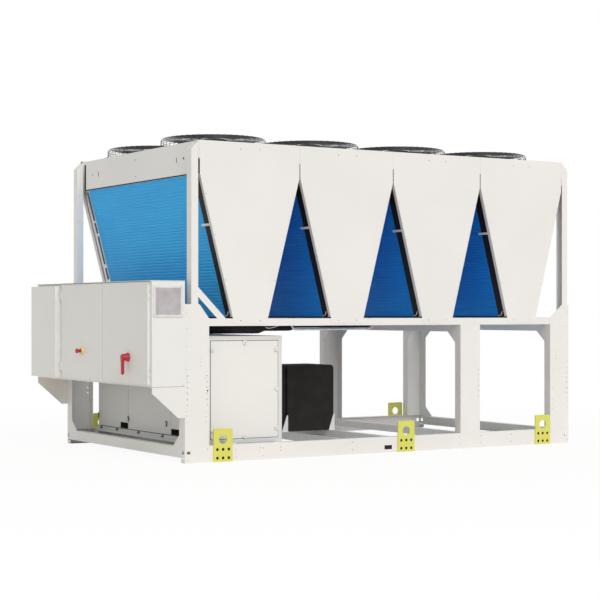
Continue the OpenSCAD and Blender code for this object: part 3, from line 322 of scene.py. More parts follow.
def tube(bm, path, r, sides=8, closed=False, mat=0):
    """A round tube along a path of points; r may be a list, one radius a point."""
    n = len(path)
    radii = r if isinstance(r, (list, tuple)) else [r] * n
    rings = []
    x = None
    for i, p in enumerate(path):
        before = path[(i - 1) % n] if closed or i else p
        after = path[(i + 1) % n] if closed or i < n - 1 else p
        d = (after - before).normalized()
        x = d.orthogonal().normalized() if x is None else (x - x.dot(d) * d).normalized()
        y = d.cross(x)
        rings.append([
            p + radii[i] * (math.cos(t) * x + math.sin(t) * y)
            for t in (2 * math.pi * k / sides for k in range(sides))
        ])
    verts = grid(bm, rings, closed_u=closed, closed_v=True, mat=mat)
    if not closed:
        cap(bm, verts[0], mat=mat)
        cap(bm, verts[-1], flip=True, mat=mat)


def ring(bm, centre, radius, r, segments=64, sides=6, mat=0):
    tube(bm, [
        centre + Vector((radius * math.cos(t), radius * math.sin(t), 0))
        for t in (2 * math.pi * k / segments for k in range(segments))
    ], r, sides, closed=True, mat=mat)


def lathe(bm, centre, axis, profile, sides=32, mat=0):
    """Turns a profile of (distance along the axis, radius) pairs round an axis."""
    x, y = frame_axes(axis)
    z = axis.normalized()
    rings = [[
        centre + d * z + radius * (math.cos(t) * x + math.sin(t) * y)
        for t in (2 * math.pi * k / sides for k in range(sides))
    ] for d, radius in profile]
    verts = grid(bm, rings, closed_v=True, mat=mat)
    cap(bm, verts[0], mat=mat)
    cap(bm, verts[-1], flip=True, mat=mat)


def block(bm, low, high, bevel=0.0, mat=0):
    """A box between two corners, its edges bevelled."""
    made = bmesh.ops.create_cube(bm, size=1.0)
    size = high - low
    for v in made["verts"]:
        v.co = Vector([low[i] + (v.co[i] + 0.5) * size[i] for i in range(3)])
    edges = {e for v in made["verts"] for e in v.link_edges}
    faces = {f for v in made["verts"] for f in v.link_faces}
    for f in faces:
        f.material_index = mat
    if bevel:
        out = bmesh.ops.bevel(
            bm, geom=list(edges), offset=bevel, segments=2, profile=0.6, affect="EDGES"
        )
        for f in out["faces"]:
            f.material_index = mat


def sheet(bm, outline, thickness, mat=0):
    """A flat outline of points made thick along its normal."""
    normal = (outline[1] - outline[0]).cross(outline[2] - outline[1]).normalized()
    front = [bm.verts.new(p) for p in outline]
    back = [bm.verts.new(p - thickness * normal) for p in outline]
    cap(bm, front, mat=mat)
    cap(bm, back, flip=True, mat=mat)
    n = len(outline)
    for i in range(n):
        j = (i + 1) % n
        face = bm.faces.new([front[j], front[i], back[i], back[j]])
        face.material_index = mat


def screw(bm, centre, axis, r=0.006, height=0.0035, mat=0):
    """A round head with a slanted edge and a flat recess."""
    lathe(bm, centre, axis, [
        (0.0, r), (height * 0.55, r), (height, r * 0.72), (height, r * 0.42),
        (height * 0.4, r * 0.36),
    ], 12, mat)


def hex_bolt(bm, centre, axis, r=0.008, height=0.005, mat=0):
    lathe(bm, centre, axis, [(0.0, r * 1.35), (0.0012, r * 1.35), (0.0013, r * 1.2)], 20, mat)
    lathe(bm, centre + 0.001 * axis.normalized(), axis, [
        (0.0, r), (height * 0.8, r), (height, r * 0.8),
    ], 6, mat)


NEAR, FAR = Vector((0, -1, 0)), Vector((0, 1, 0))
LEFT, RIGHT, UP = Vector((-1, 0, 0)), Vector((1, 0, 0)), Vector((0, 0, 1))


# Finned coils: rows of fins with a shallow groove at every tube row


def lean_point(module, side, z, inward, y):
    centre = (module + 0.5) * MODULE_L
    return at(centre + side * (half(z) - COIL_INSET - inward), y, z)


def coil_profile():
    """Heights and depths of the fin edges down one face of a coil."""
    pitch = 25.4 * math.cos(math.atan(SLANT))
    points = []
    z = COIL_LOW_Z
    while z + pitch <= COIL_HIGH_Z:
        for share, depth in ((0.0, 2.6), (0.10, 1.3), (0.24, 0.1), (0.5, 0.0), (0.76, 0.1), (0.90, 1.3)):
            points.append((z + share * pitch, depth))
        z += pitch
    points.append((COIL_HIGH_Z, 0.4))
    return points


bm = bmesh.new()
fin_rows = coil_profile()
y0, y1 = COIL_Y0 + 0.5, COIL_Y1 - 0.5
for module in range(4):
    for side in (-1, 1):
        outer = [(z, d) for z, d in fin_rows]
        inner = [(z, COIL_T - d) for z, d in reversed(fin_rows)]
        rows = [
            [lean_point(module, side, z, d, y) for z, d in outer + inner]
            for y in (y0, (y0 + y1) / 2, y1)
        ]
        # Outer faces of the end coils take the brighter blue; all other faces take the darker blue of painted shade
        tone = 0 if (module, side) in ((0, -1), (3, 1)) else 1
        verts = grid(bm, rows, closed_v=True, flip=side > 0, mat=tone)
        cap(bm, verts[0], flip=side < 0, mat=tone)
        cap(bm, verts[-1], flip=side > 0, mat=tone)
bmesh.ops.recalc_face_normals(bm, faces=bm.faces)
piece("coil_fin_packs", bm, [blue, blue_painted_shade], "root", ["coils"], smooth=50)

# Coil ends: black foam seal at the near end, slotted end frame at the far one


def lean_block(bm, module, side, z0, z1, in0, in1, ya, yb, mat=0):
    corners = []
    for y in (ya, yb):
        corners.append([
            lean_point(module, side, z0, in0, y), lean_point(module, side, z1, in0, y),
            lean_point(module, side, z1, in1, y), lean_point(module, side, z0, in1, y),
        ])
    verts = grid(bm, corners, closed_v=True, mat=mat)
    cap(bm, verts[0], mat=mat)
    cap(bm, verts[1], flip=True, mat=mat)


FRAME_SLOTS = ((1150, 1400), (1440, 1540), (1573, 1818), (1843, 1934), (1954, 2196))
seals, frames = bmesh.new(), bmesh.new()
fy0, fy1 = COIL_Y1, HEADER_Y1
for module in range(4):
    for side in (-1, 1):
        lean_block(seals, module, side, COIL_LOW_Z, COIL_HIGH_Z, 0, COIL_T, HEADER_Y0, COIL_Y0)
        lean_block(seals, module, side, 1118, 2205, 0.4 - COIL_INSET, 0.1 - COIL_INSET, 35, 48)
        lean_block(frames, module, side, COIL_LOW_Z, COIL_HIGH_Z, COIL_T - 4, COIL_T, fy0, fy1)
        lean_block(frames, module, side, COIL_LOW_Z, COIL_HIGH_Z, 0, COIL_T, fy0, fy0 + 14)
        lean_block(frames, module, side, COIL_LOW_Z, COIL_HIGH_Z, 0, COIL_T, fy0 + 52, fy1)
        z = COIL_LOW_Z
        for low, high in FRAME_SLOTS + ((COIL_HIGH_Z, COIL_HIGH_Z),):
            lean_block(frames, module, side, z, low, 0, COIL_T, fy0 + 14, fy0 + 52)
            z = high
        for low, high in FRAME_SLOTS:
            count = int((high - low) / 25.4)
            for k in range(count):
                zk = low + 14 + k * 25.4
                if zk > high - 8:
                    continue
                a = lean_point(module, side, zk, 26, fy0 + 16)
                b = lean_point(module, side, zk, 12, fy0 + 33)
                c = lean_point(module, side, zk, 26, fy0 + 50)
                tube(frames, [
                    a, a.lerp(b, 0.55) + 0.35 * (b - (a + c) / 2), b,
                    c.lerp(b, 0.55) + 0.35 * (b - (a + c) / 2), c,
                ], 0.0045, 6, mat=1)
for made in (seals, frames):
    bmesh.ops.recalc_face_normals(made, faces=made.faces)
piece("coil_end_seals", seals, seal_and_shade_black, "root", ["coil_ends"], smooth=30)
piece("coil_end_frames", frames, [galvanised, copper], "root", ["coil_ends"], smooth=30)

# Clips over the foam seals, and a pale drain elbow at the foot of each coil
bm = bmesh.new()
for module in range(4):
    for side in (-1, 1):
        for z in (1826, ):
            rows = []
            for y, out in ((30, 4.4), (30, 9), (COIL_Y0 + 36, 9), (COIL_Y0 + 36, 0.3), (50, 0.3), (50, 4.4)):
                rows.append([
                    lean_point(module, side, z - 9, -out, y),
                    lean_point(module, side, z + 9, -out, y),
                ])
            verts = grid(bm, rows, closed_u=True)
            cap(bm, [row[0] for row in verts])
            cap(bm, [row[1] for row in verts], flip=True)
        tube(bm, [lean_point(module, side, z, inward, y) for z, inward, y in (
            (1121, 2, 121), (1121, -6, 118), (1122, -8, 104), (1126, -8, 84), (1136, -8, 68),
            (1152, -7, 60), (1158, 2, 58),
        )], 0.0034, 8)
bmesh.ops.recalc_face_normals(bm, faces=bm.faces)
piece("coil_clips", bm, paint, "root", smooth=30)

# Wire guards over the fans

guards, discs = bmesh.new(), bmesh.new()
GUARD_R, HUB_R, GUARD_H, WIRE = 0.428, 0.120, 0.084, 0.0016
for module in range(4):
    for y in FAN_ROWS:
        base = at((module + 0.5) * MODULE_L, y, DECK_Z)
        top = GUARD_H - WIRE
        bend = 0.030
        for k in range(22):
            radius = HUB_R + 0.010 + k * (GUARD_R - bend - HUB_R - 0.010) / 21
            ring(guards, base + Vector((0, 0, top - 1.6 * WIRE)), radius, WIRE, 56, 4)
        for z in (0.004, 0.021, 0.038):
            ring(guards, base + Vector((0, 0, z)), GUARD_R - WIRE - 0.002, WIRE, 64, 4)
        ring(guards, base + Vector((0, 0, 0.0555)), GUARD_R - WIRE - 0.004, WIRE, 64, 4)
        for k in range(48):
            t = 2 * math.pi * k / 48
            d = Vector((math.cos(t), math.sin(t), 0))
            r_in = HUB_R - 0.004 if k % 4 == 0 else GUARD_R - (0.175 if k % 2 else 0.26)
            path = [base + d * r_in + Vector((0, 0, top))]
            for a in (0, 30, 60, 90):
                a = math.radians(a)
                path.append(
                    base + d * (GUARD_R - WIRE - bend + bend * math.sin(a))
                    + Vector((0, 0, top - bend + bend * math.cos(a)))
                )
            path.append(base + d * (GUARD_R - WIRE) + Vector((0, 0, 0.002)))
            tube(guards, path, WIRE, 4)
        lathe(discs, base + Vector((0, 0, GUARD_H - 0.041)), UP, [
            (0.0, HUB_R - 0.001), (0.028, HUB_R - 0.001), (0.036, HUB_R - 0.008),
            (0.0375, HUB_R - 0.03), (0.0402, HUB_R - 0.034), (0.0408, 0.02),
        ], 40)
        for k in range(8):
            t = math.pi / 8 + k * math.pi / 4
            d = Vector((math.cos(t), math.sin(t), 0))
            foot = base + d * (GUARD_R - 0.004)
            block(discs, foot + Vector((-0.012, -0.012, 0.0003)), foot + Vector((0.012, 0.012, 0.014)), 0.002)
piece("guard_wires", guards, wire, "root", ["fan_guards"], smooth=60)
piece("motor_discs", discs, blade, "root", ["fan_guards"], smooth=40)

# Rotors: lofted blades on a hub

ROTOR_TOP = 2470 + 84 - 5 - 36 - 0.3
HUB_H = 95


def blade_point(u, v, side):
    r = 115 + (392 - 115) * u
    p = math.radians(34 + (18 - 34) * u)
    bulge = 1 - (2 * v - 1) ** 2
    across = (v - 0.5) * (148 + (212 - 148) * u)
    a = across * math.cos(p) / r + math.radians(13) * u * u
    half_t = 3.5 * (0.25 + 0.75 * bulge ** 0.6)
    z = across * math.sin(p) - 11 * bulge + side * half_t - 22 * u * u
    return Vector((r * math.cos(a), r * math.sin(a), z)) * MM


for index in range(8):
    module, row = index % 4, index // 4
    centre = at((module + 0.5) * MODULE_L, FAN_ROWS[row], 0)
    bm = bmesh.new()
    lathe(bm, centre + Vector((0, 0, (ROTOR_TOP - HUB_H) * MM)), UP, [
        (0.0, 0.060), (0.0, 0.098), (0.006, 0.108), (0.018, 0.1165), (0.026, 0.1195),
        (0.092, 0.1195), (0.0948, 0.116),
    ], 48)
    for k in range(5):
        turn = Matrix.Rotation(2 * math.pi * k / 5, 4, "Z")
        mid = centre + Vector((0, 0, (ROTOR_TOP - HUB_H / 2) * MM))
        rows = []
        for i in range(15):
            u = i / 14
            line = [(j / 10, 1) for j in range(11)] + [(1 - j / 10, -1) for j in range(11)]
            rows.append([mid + turn @ blade_point(u, v, s) for v, s in line])
        verts = grid(bm, rows, closed_v=True)
        cap(bm, verts[0])
        cap(bm, verts[-1], flip=True)
    bmesh.ops.recalc_face_normals(bm, faces=bm.faces)
    piece(
        f"rotor_{index + 1}", bm, blade, f"fan_{index + 1}",
        [f"fan_rotor_{index + 1}"], smooth=35,
    )

# Screws in the sheet metal; black plugs on the lug holes and black dots and slots on the end covers, painted shade
# of the holes; a dark screw, a seam line and deck clips

screws, dark = bmesh.new(), bmesh.new()
for sign, y, axis in ((-1, 0, NEAR), (1, UNIT_W, FAR)):
    for module in range(4):
        centre = (module + 0.5) * MODULE_L
        for x in (-87, 87):
            screw(screws, at(centre + x, y, 1086), axis)
            screw(screws, at(centre + x, y, 2417), axis)
        for z in (1400, 1750, 2060):
            for side in (-1, 1):
                screw(screws, at(centre + side * (half(z) - 14), y, z), axis, 0.0045, 0.002)
    for s, z in (
        (320, 30), (320, 87), (561, 30), (531, 63), (534, 92), (561, 91), (721, 63), (721, 91),
        (-104, 22), (70, 100), (1400, 40), (1400, 100), (2480, 40), (2480, 100), (2708, 40),
        (2708, 100), (3040, 40), (3040, 100), (3486, 100), (3662, 30),
    ):
        screw(screws, at(s, y, z), axis, 0.0055, 0.003)
    # Black plugs on the lug holes: painted shade of the holes
    for s in LUG_XS:
        for x in (-50, 0, 50):
            for z in (29, 95):
                hole = at(s + x, y, z)
                lathe(dark, hole + 0.0004 * axis, axis, [
                    (0.0, 0.0125), (0.004, 0.0125), (0.0058, 0.0105), (0.0058, 0.0065), (0.0028, 0.006),
                ], 16)
# Black dots and slots on the end covers: painted shade of holes and slots
for s, axis in ((0.7, LEFT), (MODULES_L - 0.7, RIGHT)):
    for y, z, r in ((1979, 2343, 0.006), (1125, 2405, 0.005), (1125, 2268, 0.005), (265, 2348, 0.009)):
        lathe(dark, at(s, y, z), axis, [(0.0, r), (0.0012, r), (0.0016, r * 0.8)], 16)
    for y in (1860, 386):
        block(dark, *((at(s - 0.9, y - 4, 2322), at(s + 0.2, y + 4, 2364)) if s < 9 else (
            at(s - 0.2, y - 4, 2322), at(s + 0.9, y + 4, 2364))))
for s in (-50, MODULES_L + 50):
    for z in (1943, 2166):
        for y, axis in ((UNIT_W - 78.3, NEAR), (78.3, FAR)):
            screw(screws, at(s, y, z), axis, 0.005, 0.0025)
for y, axis, post in ((0, NEAR, 1), (UNIT_W, FAR, 1)):
    for s, z in (
        (-110, 1150), (-107, 1025), (-107, 888), (-112, 715), (-112, 646), (-110, 542), (-110, 487),
        (-110, 394), (-110, 362), (-110, 312), (-86, 1062), (6, 804), (11, 772), (11, 742), (52, 647),
        (58, 480), (58, 385), (58, 352), (58, 306),
    ):
        for x in (s, MODULES_L - 45 - s):
            screw(screws, at(x, y, z), axis, 0.004, 0.002)
    screw(screws, at(-140, y, 596), axis, 0.005, 0.002)
    screw(dark, at(70, y, 550), axis, 0.006, 0.002)
    edge = (y - 0.6, y + 0.2) if y == 0 else (y - 0.2, y + 0.6)
    block(dark, at(-400, edge[0], 585.4), at(-128, edge[1], 587.2))
for y, sign in ((3, 1), (UNIT_W - 3, -1)):
    for module in range(4):
        for s in (MODULE_L * module + 434, MODULE_L * module + (8 if module == 0 else -24)):
            a, b = at(s - 11, y, DECK_Z + 0.3), at(s + 11, y + sign * 14, DECK_Z + 8)
            block(dark, Vector((a.x, min(a.y, b.y), a.z)), Vector((b.x, max(a.y, b.y), b.z)), 0.002)
piece("sheet_screws", screws, galvanised, "root", smooth=30)
piece("dark_fittings_and_hole_shade", dark, seal_and_shade_black, "root", smooth=30)

# Dark seals round the end covers and along the coil trays, and a black plate behind each rail slot that is painted
# shade inside the slot

bm = bmesh.new()
for s0, s1 in ((0.8, 3.8), (MODULES_L - 3.8, MODULES_L - 0.8)):
    for ya, yb, za, zb in (
        (114, 2122, 2213.5, 2222.5), (2128, 2152, 2213.5, 2440), (3.5, 40, 2213.5, 2326),
        (UNIT_W - 40, UNIT_W - 3.5, 2213.5, 2326),
    ):
        block(bm, at(s0, ya, za), at(s1, yb, zb))
for module in range(1, 4):
    for y in (3.5, UNIT_W - 33.5):
        block(bm, at(MODULE_L * module - 3.7, y, 2216), at(MODULE_L * module + 3.7, y + 30, 2326))
# Black plate behind each rail slot: painted shade inside the slot
for y0, y1 in ((3.3, 4.8), (UNIT_W - 4.8, UNIT_W - 3.3)):
    block(bm, at(1705, y0, 18), at(1795, y1, 68))
for module in range(4):
    centre = (module + 0.5) * MODULE_L
    for side in (-1, 1):
        a, b = centre + side * (FOOT - 0.2), centre + side * (FOOT + 1.6)
        block(bm, at(min(a, b), 4, 1103.6), at(max(a, b), UNIT_W - 4, 1114.6))
piece("dark_strips_and_slot_shade", bm, seal_and_shade_black, "root", smooth=30)

# Housing: hooks and clips on the end wall; the grids in its recesses, the backs behind them and the gap round the
# panels are near-black painted shade

bm = bmesh.new()
grids = bmesh.new()
for y in (140, 790, 1503, 2104):
    tube(bm, [at(s, y + b, 247 + c) for s, b, c in (
        (120.6, 13, 17), (113, 8, 19), (110, -2, 17), (109, -10, 8), (109, -12, -3), (110, -7, -13),
        (113, 4, -18), (120.6, 10, -18),
    )], 0.0042, 8)
for y in (384, 862, 1309, 1732, 2052):
    block(bm, at(116.5, y - 4, 141), at(120.9, y + 4, 160), 0.001)
    block(bm, at(105, y - 14, 137), at(120.9, y + 14, 143), 0.001)
    block(bm, at(112, y - 8, 150), at(120.9, y + 8, 155), 0.001)
block(bm, at(119.2, 128, 156), at(120.9, UNIT_W - 128, 161), 0.0004)
for y in (640, UNIT_W - 640):
    block(grids, at(122.5, y - 74.5, 162.6), at(136.5, y + 74.5, 211.4), 0.001)
    for k in range(9):
        yk = y - 66 + k * 16.5
        block(grids, at(121.2, yk - 2, 164), at(124, yk + 2, 210), 0.0005)
for y, sign in ((116, -1), (UNIT_W - 116, 1)):
    x0, x1, z0, z1 = 155.5, 767.5, 159.5, 930.5
    for (xa, xb), (za, zb) in (
        ((x0, x0 + 3.5), (z0, z1)), ((x1 - 3.5, x1), (z0, z1)),
        ((x0, x1), (z0, z0 + 3.5)), ((x0, x1), (z1 - 3.5, z1)),
    ):
        block(grids, at(xa, min(y, y + sign * 0.5), za), at(xb, max(y, y + sign * 0.5), zb))
piece("housing_hooks", bm, seal_and_shade_black, "root", smooth=40)
piece("housing_grids", grids, recess_shade_black, "root", smooth=30)

# Seams of the end wall
bm = bmesh.new()
for y in (722, 1513):
    block(bm, at(119.6, y - 1.5, 174), at(121.2, y + 1.5, 963), 0.0004)
piece("housing_seams", bm, seam_grey, "root", smooth=30)

# Latches: a slotted key in each head, the slot a flat near-black strip of painted shade

bm = bmesh.new()
for y, axis in ((108.7, NEAR), (UNIT_W - 108.7, FAR)):
    x0, x1 = 159.3, 763.7
    z0, z1 = 163.3, 926.7
    for s, z in (
        (x0 + 14, z0 + 70), (x0 + 14, z1 - 70), (x1 - 14, z0 + 70), (x1 - 14, (z0 + z1) / 2),
        (x1 - 14, z1 - 70), ((x0 + x1) / 2, z0 + 14), ((x0 + x1) / 2, z1 - 14),
    ):
        p = at(s, y, z)
        lathe(bm, p + 0.0001 * axis, axis, [
            (0.0, 0.0205), (0.0055, 0.0205), (0.0082, 0.0165), (0.0082, 0.007), (0.0050, 0.0065),
        ], 6)
        block(bm, p + 0.005 * axis - Vector((0.0015, 0.0004, 0.006)), p + 0.0052 * axis + Vector((0.0015, 0.0004, 0.006)), mat=1)
piece("latch_heads", bm, [paint, recess_shade_black], "root", smooth=30)

# Cabinet: filter grille with a round frame and fine mesh

low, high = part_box("filter_grille")


def rounded(x0, x1, z0, z1, r, y, steps=6):
    points = []
    for cx, cz, start in ((x1 - r, z1 - r, 0), (x0 + r, z1 - r, 90), (x0 + r, z0 + r, 180), (x1 - r, z0 + r, 270)):
        for k in range(steps + 1):
            a = math.radians(start + 90 * k / steps)
            points.append(Vector((cx + r * math.cos(a), y, cz + r * math.sin(a))))
    return points


bm = bmesh.new()
front, back = low.y, high.y
g = 0.0
loops = []
for inset, y, r in (
    (0.0, back, 0.012), (0.0, back - 0.004, 0.012), (0.0015, front + 0.0015, 0.012),
    (0.004, front, 0.011), (0.018, front, 0.006), (0.021, front + 0.002, 0.005), (0.022, back, 0.004),
):
    loops.append(rounded(low.x + inset, high.x - inset, low.z + inset, high.z - inset, r, y))
verts = grid(bm, loops, closed_v=True)
bmesh.ops.recalc_face_normals(bm, faces=bm.faces)
piece("grille_frame", bm, grille_paint, "root", ["filter_grille"], smooth=35)
bm = bmesh.new()
gx0, gx1, gz0, gz1 = low.x + 0.021, high.x - 0.021, low.z + 0.021, high.z - 0.021
sheet(bm, [
    Vector((gx0, back - 0.001, gz0)), Vector((gx1, back - 0.001, gz0)),
    Vector((gx1, back - 0.001, gz1)), Vector((gx0, back - 0.001, gz1)),
], 0.0008, mat=1)
count = 26
for k in range(count + 1):
    z = gz0 + (gz1 - gz0) * k / count
    rod(bm, Vector((gx0, back - 0.004, z)), Vector((gx1, back - 0.004, z)), 0.0011, 5)
    x = gx0 + (gx1 - gx0) * k / count
    rod(bm, Vector((x, back - 0.0055, gz0)), Vector((x, back - 0.0055, gz1)), 0.0011, 5)
piece("grille_mesh", bm, [mesh_grey, filter_white], "root", ["filter_grille"], smooth=40)

# Stop button: yellow collar on the door, red cap

bm = bmesh.new()
p = at(DOOR_X, 1251, CABINET_Z0 + 249)
lathe(bm, p + 0.0002 * LEFT, LEFT, [
    (0.0, 0.0305), (0.0085, 0.0305), (0.0118, 0.0285), (0.0124, 0.024), (0.0124, 0.0125), (0.0119, 0.0122),
], 40)
piece("button_collar", bm, yellow, "door_left", smooth=35)
bm = bmesh.new()
lathe(bm, p, LEFT, [
    (-0.002, 0.0100), (0.0180, 0.0100), (0.0184, 0.0150), (0.022, 0.0146), (0.028, 0.0125),
    (0.036, 0.014), (0.041, 0.019), (0.044, 0.0200), (0.051, 0.0200), (0.0538, 0.0185), (0.055, 0.014),
    (0.0551, 0.002),
], 40)
piece("button_cap", bm, red, "button", ["stop_button"], smooth=35)

# Isolator handle: round base, hub and a tapering lever

bm = bmesh.new()
p = at(DOOR_X, HANDLE_Y, CABINET_Z0 + 218)
lathe(bm, p + 0.0004 * LEFT, LEFT, [
    (0.0, 0.034), (0.010, 0.034), (0.014, 0.031), (0.018, 0.028), (0.040, 0.0265), (0.050, 0.026),
    (0.057, 0.022), (0.0594, 0.016),
], 36)
rows = []
for k, (z, w, d0, d1) in enumerate((
    (0.017, 0.008, 0.044, 0.056), (0.013, 0.018, 0.040, 0.0585), (0.000, 0.0250, 0.038, 0.0595),
    (-0.02, 0.024, 0.037, 0.0595), (-0.05, 0.0165, 0.0365, 0.059), (-0.09, 0.0155, 0.037, 0.0585),
    (-0.118, 0.0160, 0.037, 0.0585), (-0.130, 0.0125, 0.040, 0.057), (-0.1355, 0.005, 0.045, 0.054),
)):
    cx, hx = (d0 + d1) / 2, (d1 - d0) / 2
    rows.append([
        p + Vector((
            -(cx + hx * math.copysign(abs(math.cos(t)) ** 0.6, math.cos(t))),
            w * math.copysign(abs(math.sin(t)) ** 0.6, math.sin(t)), z,
        ))
        for t in (2 * math.pi * q / 20 for q in range(20))
    ])
verts = grid(bm, rows, closed_v=True)
cap(bm, verts[0])
cap(bm, verts[-1], flip=True)
bmesh.ops.recalc_face_normals(bm, faces=bm.faces)
piece("handle_lever", bm, red, "handle", ["isolator_handle"], smooth=50)

# Door seals on the cabinet's front

bm = bmesh.new()
for ya, yb in ((62, 828), (872, 1654)):
    for low, high in (
        ((ya - 12, CABINET_Z0 + 27), (ya - 4, CABINET_Z1 - 17)),
        ((yb + 4, CABINET_Z0 + 27), (yb + 12, CABINET_Z1 - 17)),
        ((ya - 12, CABINET_Z0 + 25), (yb + 12, CABINET_Z0 + 33)),
        ((ya - 12, CABINET_Z1 - 25), (yb + 12, CABINET_Z1 - 17)),
    ):
        block(bm, at(CABINET_X0 - 0.25, low[0], low[1]), at(CABINET_X0 + 2, high[0], high[1]))
piece("door_seals", bm, seal_and_shade_black, "root", smooth=30)

# Switchgear: plate, ducts, drives and small devices

plate_low, plate_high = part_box("mounting_plate")
bm = bmesh.new()
px = CABINET_X1 - 3 - 0.3 - 30 - 3
y0, y1 = 80, 1636
z0, z1 = 644, 1341
pitch = (z1 - z0 - 40) / 3
block(bm, at(px, y0, z0), at(px + 3, y1, z1), 0.0008, mat=0)
for y in (y0 + 40, y1 - 40):
    for z in (z0 + 40, z1 - 40):
        rod(bm, at(px + 3, y, z), at(px + 33, y, z), 0.007, 12, mat=0)
for k in (0, 1, 3):
    block(bm, at(px - 60, y0, z0 + k * pitch), at(px, y1, z0 + k * pitch + 40), 0.001, mat=1)
for y in (y0, y1 - 40):
    block(bm, at(px - 59.5, y, z0 + 40.5), at(px, y + 40, z1 - 40.5), 0.001, mat=1)


def device(y, z, w, h, d, mat, knob=True):
    block(bm, at(px - d, y, z - h / 2), at(px, y + w, z + h / 2), 0.0015, mat=mat)
    block(bm, at(px - d - 0.0, y + w * 0.15, z - h * 0.2), at(px - d + 1, y + w * 0.85, z + h * 0.2), 0.0004, mat=1)
    if knob:
        for k in (-1, 0, 1):
            for side in (-1, 1):
                c = at(px - d, y + w * (0.5 + 0.28 * k), z + side * h * 0.38)
                lathe(bm, c + 0.0002 * RIGHT, LEFT, [(0.0, 0.0045), (0.0002, 0.0045), (0.0002, 0.003), (-0.002, 0.003)], 8, mat=0)


row_y = HANDLE_Y + 110
upper_z = z1 - 40 - 90
for k in range(8):
    device(row_y + k * 54, upper_z, 50, 90, 75, 2)
for k in range(6):
    device(row_y + 9 * 54 + k * 54, upper_z, 50, 90, 75, 3)
drive_z = z0 + pitch * 1.5 + 20
for k in range(4):
    device(row_y + k * 110, drive_z, 106, 130, 120, 3, False)
for k in range(3):
    device(row_y + 550 + k * 110, drive_z, 106, 130, 120, 3, False)
for k in range(12):
    device(row_y + 108 + k * 54, z0 + (pitch + 40) / 2, 50, 90, 75, 2)
device(HANDLE_Y - 55, 805, 110, 110, 100, 2, False)
rod(bm, at(CABINET_X0 + 4, HANDLE_Y, 805), at(px - 100, HANDLE_Y, 805), 0.006, 16, mat=0)
piece(
    "switchgear", bm, [galvanised, device_grey, blade, mesh_grey], "root",
    ["mounting_plate"], smooth=30,
)

# Flanges that lap the upper posts onto the side panels, and caps on the ends of the rails

bm = bmesh.new()
for s, z in ((-8.8, 2332), (3600.2, 2262)):
    for y in (0.2, UNIT_W - 2.2):
        block(bm, at(s, y, z), at(s + 8.6, y + 2, 2466))
for s in (-124.8, 3677):
    for y in (3.2, UNIT_W - 63.2):
        block(bm, at(s, y, 3.2), at(s + 2.8, y + 60, 33))
piece("corner_flanges", bm, paint, "root", smooth=30)

# A dark strip of painted shade on the beam under the housing, up from the floor sheet, with a rib along it; it
# darkens the gap under the housing

bm = bmesh.new()
block(bm, at(119.4, 112, FLOOR_Z), at(120.8, UNIT_W - 112, 109), 0.0004)
block(bm, at(116.4, 112, 94), at(119.4, UNIT_W - 112, 97), 0.001)
piece("beam_painted_shade_strip", bm, dark_beam_shade, "root", smooth=30)

# Pipes: insulated line with a stepped-down end, bare line with drawn bends, small service tube

bm = bmesh.new()
line = (
    (461.5, 1004, 31), (463, 1004, 34), (1056, 1004, 34), (1075, 1005.5, 31.5), (1105, 1010.5, 25),
    (1124, 1013, 22), (1365, 1013, 22), (1388, 1016, 22), (1402, 1028, 22), (1407, 1048, 22), (1407, 1102.6, 22),
)
tube(bm, [at(s, 950, z) for s, z, r in line], [r * MM for s, z, r in line], 20)
tube(bm, [at(529.5, 950, 965.4), at(529.5, 950, 1000)], 0.034, 20)
line = ((1389, 1102.6), (1389, 1042), (1393, 1030), (1404, 1025), (2209, 1025), (2220, 1030), (2224, 1042), (2224, 1102.6))
tube(bm, [at(s, 980, z) for s, z in line], 0.009, 12)
for s in (700, 1000, 1240):
    ring_r = 34.6 if s < 1100 else 22.6
    lathe(bm, at(s - 9, 950, 1004 if s < 1100 else 1013), RIGHT, [(0.0, ring_r * MM - 0.001), (0.0, ring_r * MM), (0.018, ring_r * MM), (0.018, ring_r * MM - 0.001)], 24, mat=1)
bmesh.ops.recalc_face_normals(bm, faces=bm.faces)
piece("suction_line", bm, [insulation, seal_and_shade_black], "root", ["suction_pipe"], smooth=40)
bm = bmesh.new()
line = (
    (1370, 1102.6), (1370, 1052), (1374, 1038), (1388, 1021), (1401, 1009), (1416, 1005),
    (2174, 1005), (2189, 1009), (2202, 1021), (2216, 1038), (2220, 1052), (2220, 1102.6),
)
tube(bm, [at(s, 920, z) for s, z in line], 0.010, 14)
tube(bm, [at(s, y, z) for s, y, z in (
    (1128, 934, 1024), (1140, 926, 1016), (1165, 921, 1015), (1215, 920, 1026), (1250, 920, 1038),
    (1275, 920, 1056), (1281, 920, 1076), (1281, 920, 1102.6),
)], 0.0045, 10)
bmesh.ops.recalc_face_normals(bm, faces=bm.faces)
piece("liquid_line", bm, galvanised, "root", ["liquid_pipe"], smooth=50)

# Floor, backdrop and light



def background_rays(tree):
    """Camera, glossy and transmission rays, which see the plain white surroundings."""
    rays = tree.nodes.new("ShaderNodeLightPath")
    total = rays.outputs["Is Camera Ray"]
    for name in ("Is Glossy Ray", "Is Transmission Ray"):
        add = tree.nodes.new("ShaderNodeMath")
        add.operation = "MAXIMUM"
        tree.links.new(total, add.inputs[0])
        tree.links.new(rays.outputs[name], add.inputs[1])
        total = add.outputs["Value"]
    return total


